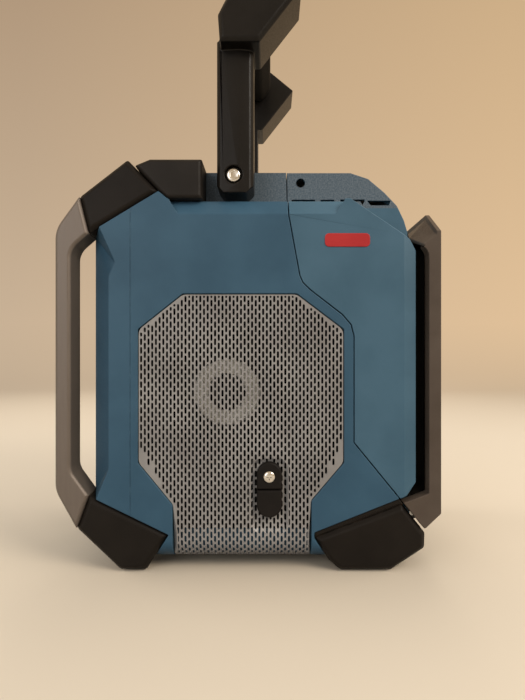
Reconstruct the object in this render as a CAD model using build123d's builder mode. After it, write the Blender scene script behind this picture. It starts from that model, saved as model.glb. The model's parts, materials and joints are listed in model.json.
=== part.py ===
"""Jobsite radio with side speakers, a battery door and a folding handle.

Millimetres. The control side faces -Y, the battery door faces +Y, the two
grilles face +X and -X, +Z is up and the feet stand on Z = 0. Most outlines
are drawn in the YZ plane, as (y, z), and extruded across the radio.
"""
import os
from math import cos, radians

from build123d import *

os.makedirs("parts", exist_ok=True)

# ---------------------------------------------------------------- overall sizes
body_width = 164.0
body_height = 294.0
front_reach = 137.3
rear_reach = 137.3
deck_width = 108.0
deck_drop = 1.0
wall = 3.0
housing_bottom = 8.0
bar_thickness = 11.2
bar_gap = 13.1
cheek_depth = 8.7
guard_gap = 8.6
neck_front_y = -53.0
neck_rear_y = 44.6

# clearances
seam_gap = 0.6
fit_gap = 0.3
shaft_gap = 0.05
seat_gap = 0.2

# sides of locked pin ends and screw shanks, and of small and large round forms
pin_flats = 6
small_sides = 12
large_sides = 24

half_width = body_width / 2
half_deck = deck_width / 2
deck_top = body_height - deck_drop
front_face = bar_thickness + bar_gap - front_reach
rear_face = rear_reach - cheek_depth - guard_gap

# ---------------------------------------------------------------- side outline
ledge_drop = 28.3
ledge_depth = 8.0
ledge_fall = 11.0
ledge_z = body_height - ledge_drop
band_front_top = front_face + 53.0
band_front_low = front_face + 63.5
band_rear_low = rear_face - 57.9
corner_flat = 13.0
corner_depth = 15.0
rear_chamfer = 9.0
under_round = 16.0

# ends of the faces that carry the corner bumpers
front_top_low = (front_face, ledge_z - 24.6)
front_top_high = (front_face + 49.4, ledge_z + 5.3)
front_bottom_high = (front_face, 54.2)
front_bottom_low = (neck_front_y - 3.3, 26.5)
front_bottom_foot = (neck_front_y - 15.2, housing_bottom)
rear_corner_high = (rear_face, 63.5)
rear_corner_low = (rear_face - 7.0, 54.4)
rear_rim_low = (neck_rear_y + 2.6, 28.3)
rear_bottom_low = (neck_rear_y + 2.6, 24.2)
rear_bottom_foot = (neck_rear_y + 13.0, housing_bottom)
ledge_start = (front_face + 55.5, ledge_z)
ledge_peak = (rear_face - 47.0, ledge_z)
rear_slope_low = (rear_face - 4.5, ledge_z - 28.7)
rear_slope_end = (rear_face, ledge_z - 36.7)

side_points = [
    front_bottom_high,
    front_top_low,
    front_top_high,
    ledge_start,
    ledge_peak,
    rear_slope_low,
    rear_slope_end,
    rear_corner_high,
    rear_corner_low,
    rear_rim_low,
    rear_bottom_low,
    rear_bottom_foot,
    front_bottom_foot,
    front_bottom_low,
]

# ---------------------------------------------------------------- centre outline
nose_height = 31.0
centre_proud = 2.0
centre_rear = rear_face + centre_proud
centre_rear_low = 21.0
deck_front = front_face + 29.0
shoulder_end = (centre_rear, deck_top - 50.0)
shoulder_points = [
    shoulder_end,
    (rear_face - 2.2, deck_top - 36.0),
    (rear_face - 7.5, deck_top - 25.0),
    (rear_face - 17.0, deck_top - 15.0),
    (rear_face - 29.5, deck_top - 4.5),
    (rear_face - 43.0, deck_top),
]

# ---------------------------------------------------------------- door seam
seam_top_y = 27.8
seam_deep_y = 75.7
seam_line = [
    (seam_top_y, deck_top + 40.0),
    (seam_top_y + 1.5, ledge_z - 11.4),
    (37.1, 211.5),
    (39.2, 206.3),
    (44.4, 201.1),
    (67.3, 183.4),
    (73.6, 176.1),
    (seam_deep_y, 167.8),
    (seam_deep_y, 92.3),
    (rear_face + 5.1, 31.9),
]
far = 260.0
bulkhead_thickness = 2.5

# battery bay in the bulkhead
bay_width = 88.0
bay_front = 41.0
bay_bottom = 76.0
bay_height = 110.0

# battery terminal block on the bay's front wall
terminal_width = 56.0
terminal_height = 62.0
terminal_z = 140.0
terminal_thickness = 7.0
terminal_rail = 5.0
blade_pitch = 9.0
blade_count = 4
blade_thickness = 1.2
blade_height = 18.0
blade_reach = 8.0

# door gasket
gasket_width = 4.0
gasket_thickness = 3.0

# door hinge, outside the housing's rear wall
hinge_y = rear_face + 8.0
hinge_z = 29.0
hinge_pin_radius = 2.0
knuckle_radius = 5.0
knuckle_width = 16.0
knuckle_spacing = 60.0
knuckle_sides = 8

# back box of the door and the rear guard
guard_thickness = 3.3
guard_front = rear_reach - guard_thickness
guard_inner = rear_reach - cheek_depth
guard_top = body_height - 33.2
guard_side_top = body_height - 51.2
guard_bottom = 46.8
guard_side_bottom = 41.8
cheek_width = 10.4
cheek_bottom = (rear_face + 7.3, 32.4)
cheek_seam = (rear_face - 12.0, 48.4)
cheek_corner = (guard_inner, 56.0)
web_thickness = 4.4
web_side_start = rear_face + 5.2
web_side_drop = 9.9
back_half = 52.0
back_bottom = 44.0
back_top = shoulder_end[1] - 8.0
guard_groove_count = 5
guard_groove_pitch = 24.0
guard_groove_width = 7.0
guard_groove_length = 170.0
guard_groove_depth = 1.4

# ---------------------------------------------------------------- grille
grille_thickness = 1.2
grille_recess = 0.8
grille_fit = 0.5
grille_bend_radius = 16.0
grille_bend_angle = 74.0
grille_top = 197.4
grille_front_y = -77.6
grille_rear_y = 67.7
grille_points = [
    (-46.1, grille_top),
    (34.7, grille_top),
    (grille_rear_y, 172.4),
    (grille_rear_y, 78.0),
    (neck_rear_y, 51.0),
    (neck_rear_y, housing_bottom - 4.0),
    (neck_front_y, housing_bottom - 4.0),
    (neck_front_y, 48.0),
    (grille_front_y, 78.0),
    (grille_front_y, 172.4),
]
slot_length = 20.0
slot_width = 4.6
slot_pitch = 11.4
slot_period = 27.0
slot_margin = 3.0

# ---------------------------------------------------------------- speakers
speaker_y = -17.0
speaker_z = 126.0
baffle_thickness = 3.0
baffle_depth = 14.0
basket_radius = 56.0
basket_depth = 26.0
basket_plate = 2.0
basket_sides = 8
cone_radius = 51.0
cone_neck = 46.0
cone_depth = 13.0
cone_skin = 1.0
ring_outer = 25.0
ring_inner = 14.0
ring_height = 3.0
magnet_radius = 32.0
magnet_length = 18.0

# ---------------------------------------------------------------- guard bars
bar_depth = 22.0
bar_outer_round = 22.0
bar_inner_round = 14.0
bar_edge = 1.8
bar_top_bend = ledge_z - 21.9
bar_bottom_bend = 57.9
bar_bend_step = 14.0
bar_stand_off = 0.5
bar_top_slope = (front_top_high[1] - front_top_low[1]) / (front_top_high[0] - front_face)
bar_bottom_slope = (front_bottom_low[1] - front_bottom_high[1]) / (front_bottom_low[0] - front_face)
bar_top_inner = (front_face - bar_stand_off, front_top_low[1] - bar_stand_off * bar_top_slope)
bar_top_outer = (17.1 - front_reach, ledge_z + 1.8)
bar_bottom_inner = (front_face - bar_stand_off, front_bottom_high[1] - bar_stand_off * bar_bottom_slope)
bar_bottom_outer = (15.1 - front_reach, 30.7)

# ---------------------------------------------------------------- bumpers
bumper_bevel = 3.0
foot_proud = 1.2
foot_size = (16.0, 13.0)
foot_thickness = 3.0
foot_x = 68.0
front_foot_y = -82.0
rear_foot_y = 84.0
front_top_tip = (front_face + 26.9, body_height)
front_bottom_heel = (neck_front_y - 19.7, foot_proud)
front_bottom_toe = (front_face + 22.0, foot_proud)
rear_bottom_tip = (rear_face - 9.9, 48.0)
rear_bottom_back = (rear_face + 6.4, 27.5)
rear_bottom_under = (rear_face + 6.1, 16.8)
rear_bottom_toe = (rear_face - 17.7, foot_proud)
rear_bottom_heel = (neck_rear_y + 20.7, foot_proud)
rim_recess = 1.5

# ---------------------------------------------------------------- hoods
hood_gap = 10.5
hood_top_front = (front_face + 43.0, body_height)
hood_nose = (front_face + 32.1, body_height - 4.5)
hood_foot = (front_top_high[0] + 2.1, front_top_high[1] - 1.8)
hood_bevel = 2.0

# ---------------------------------------------------------------- handle
pivot_y = -10.3
pivot_z = body_height - 11.1
pivot_radius = 4.0
pivot_head_radius = 5.2
pivot_head_height = 2.6
pivot_recess_depth = 3.0
pivot_recess_radius = 6.4
pivot_screw_grip = 9.0
pivot_socket_radius = 2.6
pivot_socket_depth = 1.6
arm_front = -22.3
arm_back = 4.0
arm_ridge_y = -7.0
arm_ridge = 1.2
arm_edge = 2.5
arm_foot_bevel = 5.0
arm_outer = half_width - 1.2
arm_inner = half_deck + fit_gap
arm_bottom = pivot_z - 12.8
grip_rise = 127.0
grip_y = 0.5
grip_z = pivot_z + grip_rise
block_outer = half_width + 11.5
block_foot = grip_z - 38.5
block_points = [
    (grip_y - 19.7, block_foot),
    (grip_y - 21.0, grip_z - 19.9),
    (grip_y - 16.4, grip_z - 10.8),
    (grip_y - 3.0, grip_z + 12.0),
    (grip_y + 15.8, grip_z + 17.1),
    (grip_y + 37.5, grip_z - 0.7),
    (grip_y + 8.0, block_foot),
]
block_bevel = 2.5
arm_lap = 7.5
arm_top = block_foot + arm_lap
grip_width = 31.0
grip_height = 29.0
grip_corner = 8.0
grip_waist = 3.0
grip_full_half = 40.0

# ---------------------------------------------------------------- control panel
panel_width = 104.0
panel_height = 214.0
panel_z = 146.0
panel_thickness = 4.5
panel_corner = 9.0
panel_bevel = 1.5
panel_rim = 4.0
panel_front = front_face - panel_thickness
display_width = 78.0
display_height = 46.0
display_z = 220.0
display_corner = 4.0
window_thickness = 2.0
window_proud = 0.6
window_back = panel_front + window_thickness
button_proud = 2.6
button_travel = 1.2
button_bevel = 0.8
button_width = 14.5
button_height = 9.0
preset_count = 5
preset_pitch = 18.5
preset_z = 178.0
preset_x = [(number - (preset_count - 1) / 2) * preset_pitch for number in range(preset_count)]
power_x = -32.0
source_x = 32.0
control_row_z = 156.0
power_radius = 7.0
board_thickness = 1.6
board_gap = 0.3
board_setback = 2.5
board_front = front_face + board_setback
board_back = board_front + board_thickness
board_span = 94.0
board_overlap = 2.0
encoder_side = 12.0
encoder_depth = 6.0
dial_z = 110.0
dial_radius = 27.0
dial_depth = 7.5
dial_gap = 0.6
dial_shaft_radius = 3.0
dial_skirt = 1.6
dial_step = 2.0
dial_flute_count = 20
dial_flute = 1.6
dial_dish = 1.2
dial_dish_margin = 7.0
port_z = 62.0
port_width = 46.0
port_height = 20.0
port_depth = 5.7
port_mouth = 4.0
port_spacing = 22.0
port_cap_proud = 1.4
usb_width = 13.0
usb_height = 6.0
usb_wall = 0.6
jack_radius = 4.0
jack_bore_radius = 1.8

# ---------------------------------------------------------------- DC socket cover
dc_y = 15.2
dc_top = 78.7
dc_bottom = 39.3
dc_width = 17.8
dc_crease = 59.0
dc_proud = 1.6
dc_bevel = 1.0
dc_jack_wall = 1.0
dc_pin_radius = 0.9
screw_slot = 1.0
dc_crease_gap = 0.4
dc_plate_margin = 4.6
dc_plate_corner = 5.0
dc_plate_sink = 2.0
dc_screw_z = 68.3
dc_screw_radius = 4.3
dc_screw_height = 2.2
dc_jack_z = 48.5
dc_jack_side = 9.0
dc_jack_length = 9.0

# ---------------------------------------------------------------- latch
latch_width = 40.0
latch_front = seam_top_y - 9.0
latch_thickness = 4.0
latch_pin_y = seam_top_y + 21.0
latch_pin_z = deck_top + fit_gap + latch_thickness / 2
latch_pin_radius = 1.2
latch_ear_radius = 3.0
latch_ear_foot = 5.0
latch_ear_top = latch_pin_z + latch_ear_radius
latch_grip_length = 7.0
latch_grip_pitch = 3.0
latch_grip_count = 3
latch_grip_depth = 0.8

# ---------------------------------------------------------------- antenna
antenna_x = -34.0
antenna_base_y = deck_front + 12.0
antenna_length = 96.0
antenna_radius = 3.8
antenna_tip_radius = 2.6
antenna_lift = 6.5
antenna_pin_radius = 1.5
antenna_mount_width = 16.0
antenna_mount_length = 14.0
antenna_eye_width = 7.0
antenna_eye_radius = 4.5

# ---------------------------------------------------------------- screws and board
screw_spacing_x = 76.0
screw_spacing_y = 150.0
screw_head_radius = 3.6
screw_head_height = 1.8
screw_radius = 1.8
screw_length = 14.0
board_length = 120.0
board_width = 84.0
chip_height = 9.0

grille_face = half_width - grille_recess
bend_x = grille_face - grille_bend_radius
baffle_face = half_width - baffle_depth
shell_inner = half_width - wall
pin_centre = (hinge_y, hinge_z)
# the housing's hinge knuckle stands between the door's two
inner_knuckle = knuckle_spacing - knuckle_width - 2 * fit_gap
hinge_pin_length = knuckle_spacing + knuckle_width
grille_end = bend_x + (grille_bend_radius - grille_thickness) * cos(radians(grille_bend_angle))
dc_face = half_width + dc_proud
basket_face = baffle_face - baffle_thickness
basket_back = basket_face - basket_depth
cone_face = basket_face - cone_depth + cone_skin


def front_plane(y):
    """Plane that faces the user, at this y, with x across and z up."""
    return Plane.XZ.offset(-y)


# ---------------------------------------------------------------- shared outlines
with BuildSketch() as side_outline:
    with BuildLine():
        Polyline(side_points, close=True)
    make_face()

with BuildSketch() as side_inside:
    add(side_outline.sketch_local)
    offset(amount=-wall, kind=Kind.INTERSECTION, mode=Mode.REPLACE)

with BuildSketch() as centre_outline:
    with BuildLine():
        Polyline(
            shoulder_end,
            (centre_rear, centre_rear_low),
            (centre_rear - 14.0, housing_bottom),
            (front_face + 20.0, housing_bottom),
            (front_face, housing_bottom + 20.0),
            (front_face, deck_top - nose_height),
            (deck_front, deck_top),
            *shoulder_points[:0:-1],
            close=True,
        )
    make_face()

with BuildSketch() as centre_inside:
    add(centre_outline.sketch_local)
    offset(amount=-wall, kind=Kind.INTERSECTION, mode=Mode.REPLACE)

with BuildSketch() as side_deep:
    add(side_inside.sketch_local)
    with Locations((front_face, 0)):
        Rectangle(2 * (corner_flat + wall), 2 * far, mode=Mode.SUBTRACT)
    with Locations((rear_face, 0)):
        Rectangle(2 * (rear_chamfer + wall), 4 * far, mode=Mode.SUBTRACT)
    with Locations((0, ledge_z)):
        Rectangle(2 * far, 2 * (ledge_fall + wall), mode=Mode.SUBTRACT)
    with Locations((0, housing_bottom)):
        Rectangle(2 * far, 2 * (under_round + wall), mode=Mode.SUBTRACT)

with BuildSketch() as door_zone:
    with BuildLine():
        Polyline(
            *seam_line,
            (far, seam_line[-1][1]),
            (far, far + deck_top),
            (seam_top_y, far + deck_top),
            close=True,
        )
    make_face()

with BuildSketch() as door_zone_wide:
    add(door_zone.sketch_local)
    offset(amount=seam_gap, kind=Kind.INTERSECTION, mode=Mode.REPLACE)

with BuildSketch() as bulkhead_zone:
    add(door_zone_wide.sketch_local)
    offset(amount=bulkhead_thickness, kind=Kind.INTERSECTION, mode=Mode.REPLACE)
    add(door_zone_wide.sketch_local, mode=Mode.SUBTRACT)

with BuildSketch() as gasket_zone:
    add(door_zone.sketch_local)
    offset(amount=-seat_gap, kind=Kind.INTERSECTION, mode=Mode.REPLACE)
    with BuildSketch(mode=Mode.SUBTRACT):
        add(door_zone.sketch_local)
        offset(amount=-seat_gap - gasket_thickness, kind=Kind.INTERSECTION, mode=Mode.REPLACE)

with BuildSketch() as rear_bumper_outline:
    with BuildLine():
        Polyline(
            rear_bottom_low,
            rear_bottom_tip,
            rear_bottom_back,
            rear_bottom_under,
            rear_bottom_toe,
            rear_bottom_heel,
            rear_bottom_foot,
            close=True,
        )
    make_face()

with BuildSketch() as rear_bumper_room:
    add(rear_bumper_outline.sketch_local)
    offset(amount=2 * seam_gap, kind=Kind.INTERSECTION, mode=Mode.REPLACE)

with BuildSketch() as grille_outline:
    with BuildLine():
        Polyline(*grille_points, close=True)
    make_face()

with BuildSketch() as rear_rim_outline:
    with BuildLine():
        Polyline(rear_rim_low, rear_corner_low, rear_bottom_tip, rear_bottom_low, close=True)
    make_face()
    add(door_zone_wide.sketch_local, mode=Mode.SUBTRACT)

with BuildSketch() as dc_plate_outline:
    with Locations((dc_y, (dc_top + dc_bottom) / 2)):
        Rectangle(dc_width + 2 * dc_plate_margin, dc_top - dc_bottom + 2 * dc_plate_margin)
    chamfer(dc_plate_outline.vertices(), length=dc_plate_corner)

with BuildSketch() as window_outline:
    Rectangle(display_width, display_height)
    chamfer(window_outline.vertices(), length=display_corner)

with BuildSketch() as grip_section:
    Rectangle(grip_width, grip_height)
    chamfer(grip_section.vertices(), length=grip_corner)

# sloping band cut off the top outer edge of the sides, with slanted ends
ledge_plane = Plane(
    origin=(half_width - ledge_depth, 0, ledge_z),
    x_dir=(0, 1, 0),
    z_dir=(ledge_fall, 0, ledge_depth),
)
ledge_slope = (ledge_fall**2 + ledge_depth**2) ** 0.5
with BuildPart() as ledge_cut:
    with BuildSketch(ledge_plane):
        with BuildLine():
            Polyline(
                (band_front_top, 0),
                ledge_peak[:1] + (0,),
                (band_rear_low, -ledge_slope),
                (band_front_low, -ledge_slope),
                close=True,
            )
        make_face()
    extrude(amount=ledge_depth)
    mirror(about=Plane.YZ)

# ---------------------------------------------------------------- side shells
with BuildPart() as side_shell_right:
    with BuildSketch(Plane.YZ.offset(half_deck)):
        add(side_outline.sketch_local)
        add(door_zone_wide.sketch_local, mode=Mode.SUBTRACT)
    extrude(amount=half_width - half_deck)
    outer_edges = side_shell_right.faces().sort_by(Axis.X)[-1].edges()
    front_edge = outer_edges.filter_by(Axis.Z).sort_by(Axis.Y)[0]
    chamfer(front_edge, length=corner_depth, length2=corner_flat)
    outer_edges = side_shell_right.faces().sort_by(Axis.X)[-1].edges()
    under_edge = outer_edges.filter_by(Axis.Y).sort_by(Axis.Z)[0]
    fillet(under_edge, radius=under_round)
    add(ledge_cut.part, mode=Mode.SUBTRACT)
    with BuildSketch(Plane.YZ.offset(half_deck)):
        add(side_inside.sketch_local)
    extrude(amount=shell_inner - half_deck - corner_depth, mode=Mode.SUBTRACT)
    with BuildSketch(Plane.YZ.offset(half_deck)):
        add(side_deep.sketch_local)
    extrude(amount=shell_inner - half_deck, mode=Mode.SUBTRACT)
    with BuildSketch(Plane.YZ.offset(grille_end - grille_fit)):
        add(grille_outline.sketch_local)
        offset(amount=grille_fit, kind=Kind.INTERSECTION, mode=Mode.REPLACE)
    extrude(amount=half_width, mode=Mode.SUBTRACT)
side_shell_right.part.label = "side_shell_right"
export_step(side_shell_right.part, "parts/side_shell_right.step")

with BuildPart() as side_shell_left:
    mirror(side_shell_right.part, about=Plane.YZ)
side_shell_left.part.label = "side_shell_left"
export_step(side_shell_left.part, "parts/side_shell_left.step")

# ---------------------------------------------------------------- centre housing
with BuildPart() as centre_housing:
    with BuildSketch(Plane.YZ):
        add(centre_outline.sketch_local)
        add(door_zone_wide.sketch_local, mode=Mode.SUBTRACT)
    extrude(amount=half_deck, both=True)
    with BuildSketch(Plane.YZ):
        add(centre_inside.sketch_local)
    extrude(amount=half_deck - wall, both=True, mode=Mode.SUBTRACT)
    with BuildSketch(Plane.YZ):
        add(side_inside.sketch_local)
    extrude(amount=half_deck, both=True, mode=Mode.SUBTRACT)
    with BuildSketch(Plane.YZ):
        with Locations(pin_centre):
            RegularPolygon(knuckle_radius, knuckle_sides, major_radius=False)
            Rectangle(
                hinge_y - centre_rear + wall,
                2 * knuckle_radius,
                align=(Align.MAX, Align.CENTER),
            )
            RegularPolygon(hinge_pin_radius, pin_flats, mode=Mode.SUBTRACT)
    extrude(amount=inner_knuckle / 2, both=True)
    with BuildSketch(Plane.YZ):
        with Locations((pivot_y, pivot_z)):
            RegularPolygon(pivot_radius, pin_flats)
    extrude(amount=half_deck, both=True, mode=Mode.SUBTRACT)
    with BuildSketch(front_plane(front_face)):
        with Locations((0, panel_z)):
            Rectangle(panel_width - 2 * panel_rim, panel_height - 2 * panel_rim)
    extrude(amount=-wall, mode=Mode.SUBTRACT)
    with BuildSketch(Plane.XY.offset(housing_bottom)):
        with GridLocations(screw_spacing_x, screw_spacing_y, 2, 2):
            RegularPolygon(screw_radius, pin_flats)
    extrude(amount=wall, mode=Mode.SUBTRACT)
centre_housing.part.label = "centre_housing"
export_step(centre_housing.part, "parts/centre_housing.step")

# ---------------------------------------------------------------- rear bulkhead with the battery bay
with BuildPart() as rear_bulkhead:
    with BuildSketch(Plane.YZ):
        add(bulkhead_zone.sketch_local)
        add(side_inside.sketch_local, mode=Mode.INTERSECT)
    extrude(amount=shell_inner - corner_depth, both=True)
    with BuildSketch(Plane.YZ):
        add(bulkhead_zone.sketch_local)
        add(side_deep.sketch_local, mode=Mode.INTERSECT)
    extrude(amount=shell_inner, both=True)
    with BuildSketch(Plane.YZ):
        add(bulkhead_zone.sketch_local)
        add(centre_inside.sketch_local, mode=Mode.INTERSECT)
    extrude(amount=half_deck - wall, both=True)
    with BuildSketch(Plane.YZ):
        with Locations((bay_front - bulkhead_thickness, bay_bottom - bulkhead_thickness)):
            Rectangle(
                seam_deep_y - seam_gap - bay_front + bulkhead_thickness,
                bay_height + 2 * bulkhead_thickness,
                align=(Align.MIN, Align.MIN),
            )
        add(door_zone_wide.sketch_local, mode=Mode.SUBTRACT)
    extrude(amount=bay_width / 2 + bulkhead_thickness, both=True)
    with BuildSketch(Plane.YZ):
        with Locations((bay_front, bay_bottom)):
            Rectangle(far, bay_height, align=(Align.MIN, Align.MIN))
    extrude(amount=bay_width / 2, both=True, mode=Mode.SUBTRACT)
rear_bulkhead.part.label = "rear_bulkhead"
export_step(rear_bulkhead.part, "parts/rear_bulkhead.step")

# ---------------------------------------------------------------- battery terminals
with BuildPart() as battery_terminals:
    with BuildSketch(Plane.XZ.offset(-bay_front)):
        with Locations((0, terminal_z)):
            Rectangle(terminal_width, terminal_height)
    extrude(amount=-terminal_thickness)
    with BuildSketch(Plane.XZ.offset(-bay_front)):
        for side in (-1, 1):
            with Locations((side * (terminal_width + terminal_rail) / 2, terminal_z)):
                Rectangle(terminal_rail, terminal_height)
    extrude(amount=-(terminal_thickness + terminal_rail))
    with BuildSketch(Plane.XZ.offset(-(bay_front + terminal_thickness))):
        with Locations((0, terminal_z)):
            with GridLocations(blade_pitch, 1, blade_count, 1):
                Rectangle(blade_thickness, blade_height)
    extrude(amount=terminal_thickness - wall, mode=Mode.SUBTRACT)
battery_terminals.part.label = "battery_terminals"
export_step(battery_terminals.part, "parts/battery_terminals.step")

with BuildPart() as terminal_blades:
    with BuildSketch(Plane.XZ.offset(-(bay_front + wall))):
        with Locations((0, terminal_z)):
            with GridLocations(blade_pitch, 1, blade_count, 1):
                Rectangle(blade_thickness, blade_height)
    extrude(amount=-(terminal_thickness + blade_reach - wall))
terminal_blades.part.label = "terminal_blades"
export_step(terminal_blades.part, "parts/terminal_blades.step")

# ---------------------------------------------------------------- battery door
with BuildPart() as door_shell:
    with BuildSketch(Plane.YZ):
        add(side_outline.sketch_local)
        add(door_zone.sketch_local, mode=Mode.INTERSECT)
        add(rear_bumper_room.sketch_local, mode=Mode.SUBTRACT)
    extrude(amount=half_width, both=True)
    for side in (-1, 1):
        face = door_shell.faces().sort_by(Axis.X)[-1 if side > 0 else 0]
        rear_edge = face.edges().filter_by(Axis.Z).sort_by(Axis.Y)[-1]
        chamfer(rear_edge, length=rear_chamfer)
    with BuildSketch(Plane.YZ):
        add(centre_outline.sketch_local)
        add(door_zone.sketch_local, mode=Mode.INTERSECT)
    extrude(amount=half_deck, both=True)
    with BuildSketch(Plane.YZ):
        with Locations((rear_face - wall, back_bottom)):
            Rectangle(
                guard_front - rear_face + wall,
                back_top - back_bottom,
                align=(Align.MIN, Align.MIN),
            )
    extrude(amount=back_half, both=True)
    with BuildSketch(Plane.YZ):
        add(side_inside.sketch_local)
        with Locations((0, ledge_z)):
            Rectangle(2 * far, 2 * wall, mode=Mode.SUBTRACT)
    extrude(amount=half_deck, both=True, mode=Mode.SUBTRACT)
    with BuildSketch(Plane.YZ):
        add(side_deep.sketch_local)
    extrude(amount=shell_inner, both=True, mode=Mode.SUBTRACT)
    with BuildSketch(Plane.YZ):
        add(centre_inside.sketch_local)
    extrude(amount=half_deck - wall, both=True, mode=Mode.SUBTRACT)
    with BuildSketch(Plane.YZ):
        with Locations((rear_face - 2 * wall, back_bottom + wall)):
            Rectangle(
                guard_front - rear_face + wall,
                back_top - back_bottom - 2 * wall,
                align=(Align.MIN, Align.MIN),
            )
    extrude(amount=back_half - wall, both=True, mode=Mode.SUBTRACT)
    for side in (-1, 1):
        with BuildSketch(Plane.YZ.offset(side * (latch_width / 2 + fit_gap + wall / 2))):
            with BuildLine():
                Polyline(
                    (latch_pin_y - latch_ear_foot, deck_top - wall / 2),
                    (latch_pin_y + latch_ear_foot, deck_top - wall / 2),
                    (latch_pin_y + latch_ear_radius, latch_ear_top - latch_pin_radius),
                    (latch_pin_y + latch_pin_radius, latch_ear_top),
                    (latch_pin_y - latch_pin_radius, latch_ear_top),
                    (latch_pin_y - latch_ear_radius, latch_ear_top - latch_pin_radius),
                    close=True,
                )
            make_face()
            with Locations((latch_pin_y, latch_pin_z)):
                RegularPolygon(latch_pin_radius, pin_flats, mode=Mode.SUBTRACT)
        extrude(amount=wall / 2, both=True)
    for side in (-1, 1):
        with BuildSketch(Plane.YZ.offset(side * knuckle_spacing / 2)):
            with Locations(pin_centre):
                RegularPolygon(knuckle_radius, knuckle_sides, major_radius=False)
                Rectangle(
                    2 * knuckle_radius,
                    back_bottom + wall - hinge_z,
                    align=(Align.CENTER, Align.MIN),
                )
                Circle(hinge_pin_radius + shaft_gap, mode=Mode.SUBTRACT)
        extrude(amount=knuckle_width / 2, both=True)
door_shell.part.label = "door_shell"
export_step(door_shell.part, "parts/door_shell.step")

with BuildPart() as door_gasket:
    with BuildSketch(Plane.YZ):
        add(gasket_zone.sketch_local)
        add(side_deep.sketch_local, mode=Mode.INTERSECT)
    extrude(amount=shell_inner, both=True)
    with BuildSketch(Plane.YZ):
        add(side_deep.sketch_local)
        offset(amount=-gasket_width, kind=Kind.INTERSECTION, mode=Mode.REPLACE)
    extrude(amount=shell_inner - gasket_width, both=True, mode=Mode.SUBTRACT)
door_gasket.part.label = "door_gasket"
export_step(door_gasket.part, "parts/door_gasket.step")

with BuildPart() as door_hinge_pin:
    with BuildSketch(Plane.YZ):
        with Locations(pin_centre):
            RegularPolygon(hinge_pin_radius, pin_flats)
    extrude(amount=inner_knuckle / 2, both=True)
    with BuildSketch(Plane.YZ.offset(inner_knuckle / 2)):
        with Locations(pin_centre):
            Circle(hinge_pin_radius)
    extrude(amount=(hinge_pin_length - inner_knuckle) / 2)
    mirror(about=Plane.YZ)
door_hinge_pin.part.label = "door_hinge_pin"
export_step(door_hinge_pin.part, "parts/door_hinge_pin.step")

with BuildPart() as rear_guard:
    with BuildSketch(front_plane(guard_front)):
        with BuildLine():
            Polyline(
                (-half_width, guard_side_bottom),
                (-half_width, guard_side_top),
                (-half_deck, guard_top),
                (half_deck, guard_top),
                (half_width, guard_side_top),
                (half_width, guard_side_bottom),
                (half_deck, guard_bottom),
                (-half_deck, guard_bottom),
                close=True,
            )
        make_face()
    extrude(amount=-guard_thickness)
    with BuildSketch(Plane.YZ.offset(half_width - cheek_width)):
        with BuildLine():
            Polyline(
                cheek_seam,
                cheek_corner,
                (guard_inner, guard_side_top - web_side_drop),
                (rear_reach, guard_side_top),
                (rear_reach, guard_side_bottom),
                cheek_bottom,
                close=True,
            )
        make_face()
        add(rear_bumper_room.sketch_local, mode=Mode.SUBTRACT)
    extrude(amount=cheek_width)
    with BuildSketch(Plane.YZ):
        with BuildLine():
            Polyline(
                shoulder_end,
                (rear_reach, guard_top),
                (rear_reach, guard_top - web_thickness),
                (centre_rear, shoulder_end[1] - web_thickness),
                close=True,
            )
        make_face()
    extrude(amount=half_deck)
    with BuildSketch(Plane.YZ.offset(half_deck)):
        with BuildLine():
            Polyline(
                shoulder_end,
                (rear_reach, guard_top),
                (rear_reach, guard_top - web_thickness),
                (centre_rear, shoulder_end[1] - web_thickness),
                close=True,
            )
        make_face()
    with BuildSketch(Plane.YZ.offset(half_width)):
        with BuildLine():
            Polyline(
                (web_side_start, guard_side_top - web_side_drop),
                (rear_reach, guard_side_top),
                (rear_reach, guard_side_top - web_thickness),
                (web_side_start, guard_side_top - web_side_drop - web_thickness),
                close=True,
            )
        make_face()
    loft(ruled=True)
    mirror(about=Plane.YZ)
    with BuildSketch(front_plane(rear_reach)):
        with Locations((0, (guard_top + guard_bottom) / 2)):
            with GridLocations(guard_groove_pitch, 1, guard_groove_count, 1):
                Rectangle(guard_groove_width, guard_groove_length)
    extrude(amount=guard_groove_depth, mode=Mode.SUBTRACT)
rear_guard.part.label = "rear_guard"
export_step(rear_guard.part, "parts/rear_guard.step")

# ---------------------------------------------------------------- door latch
with BuildPart() as door_latch:
    with BuildSketch(Plane.YZ):
        with Locations((latch_front, latch_pin_z)):
            Rectangle(latch_pin_y - latch_front, latch_thickness, align=(Align.MIN, Align.CENTER))
        with Locations((latch_pin_y, latch_pin_z)):
            RegularPolygon(latch_thickness / 2, knuckle_sides, major_radius=False)
    extrude(amount=latch_width / 2, both=True)
    with BuildSketch(Plane.XY.offset(latch_pin_z + latch_thickness / 2)):
        with Locations((0, latch_front + latch_grip_length)):
            with GridLocations(1, latch_grip_pitch, 1, latch_grip_count):
                Rectangle(latch_width - 4 * wall, latch_grip_pitch / 2)
    extrude(amount=-latch_grip_depth, mode=Mode.SUBTRACT)
    with BuildSketch(Plane.YZ):
        with Locations((latch_pin_y, latch_pin_z)):
            Circle(latch_pin_radius + shaft_gap)
    extrude(amount=latch_width / 2, both=True, mode=Mode.SUBTRACT)
door_latch.part.label = "door_latch"
export_step(door_latch.part, "parts/door_latch.step")

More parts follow.
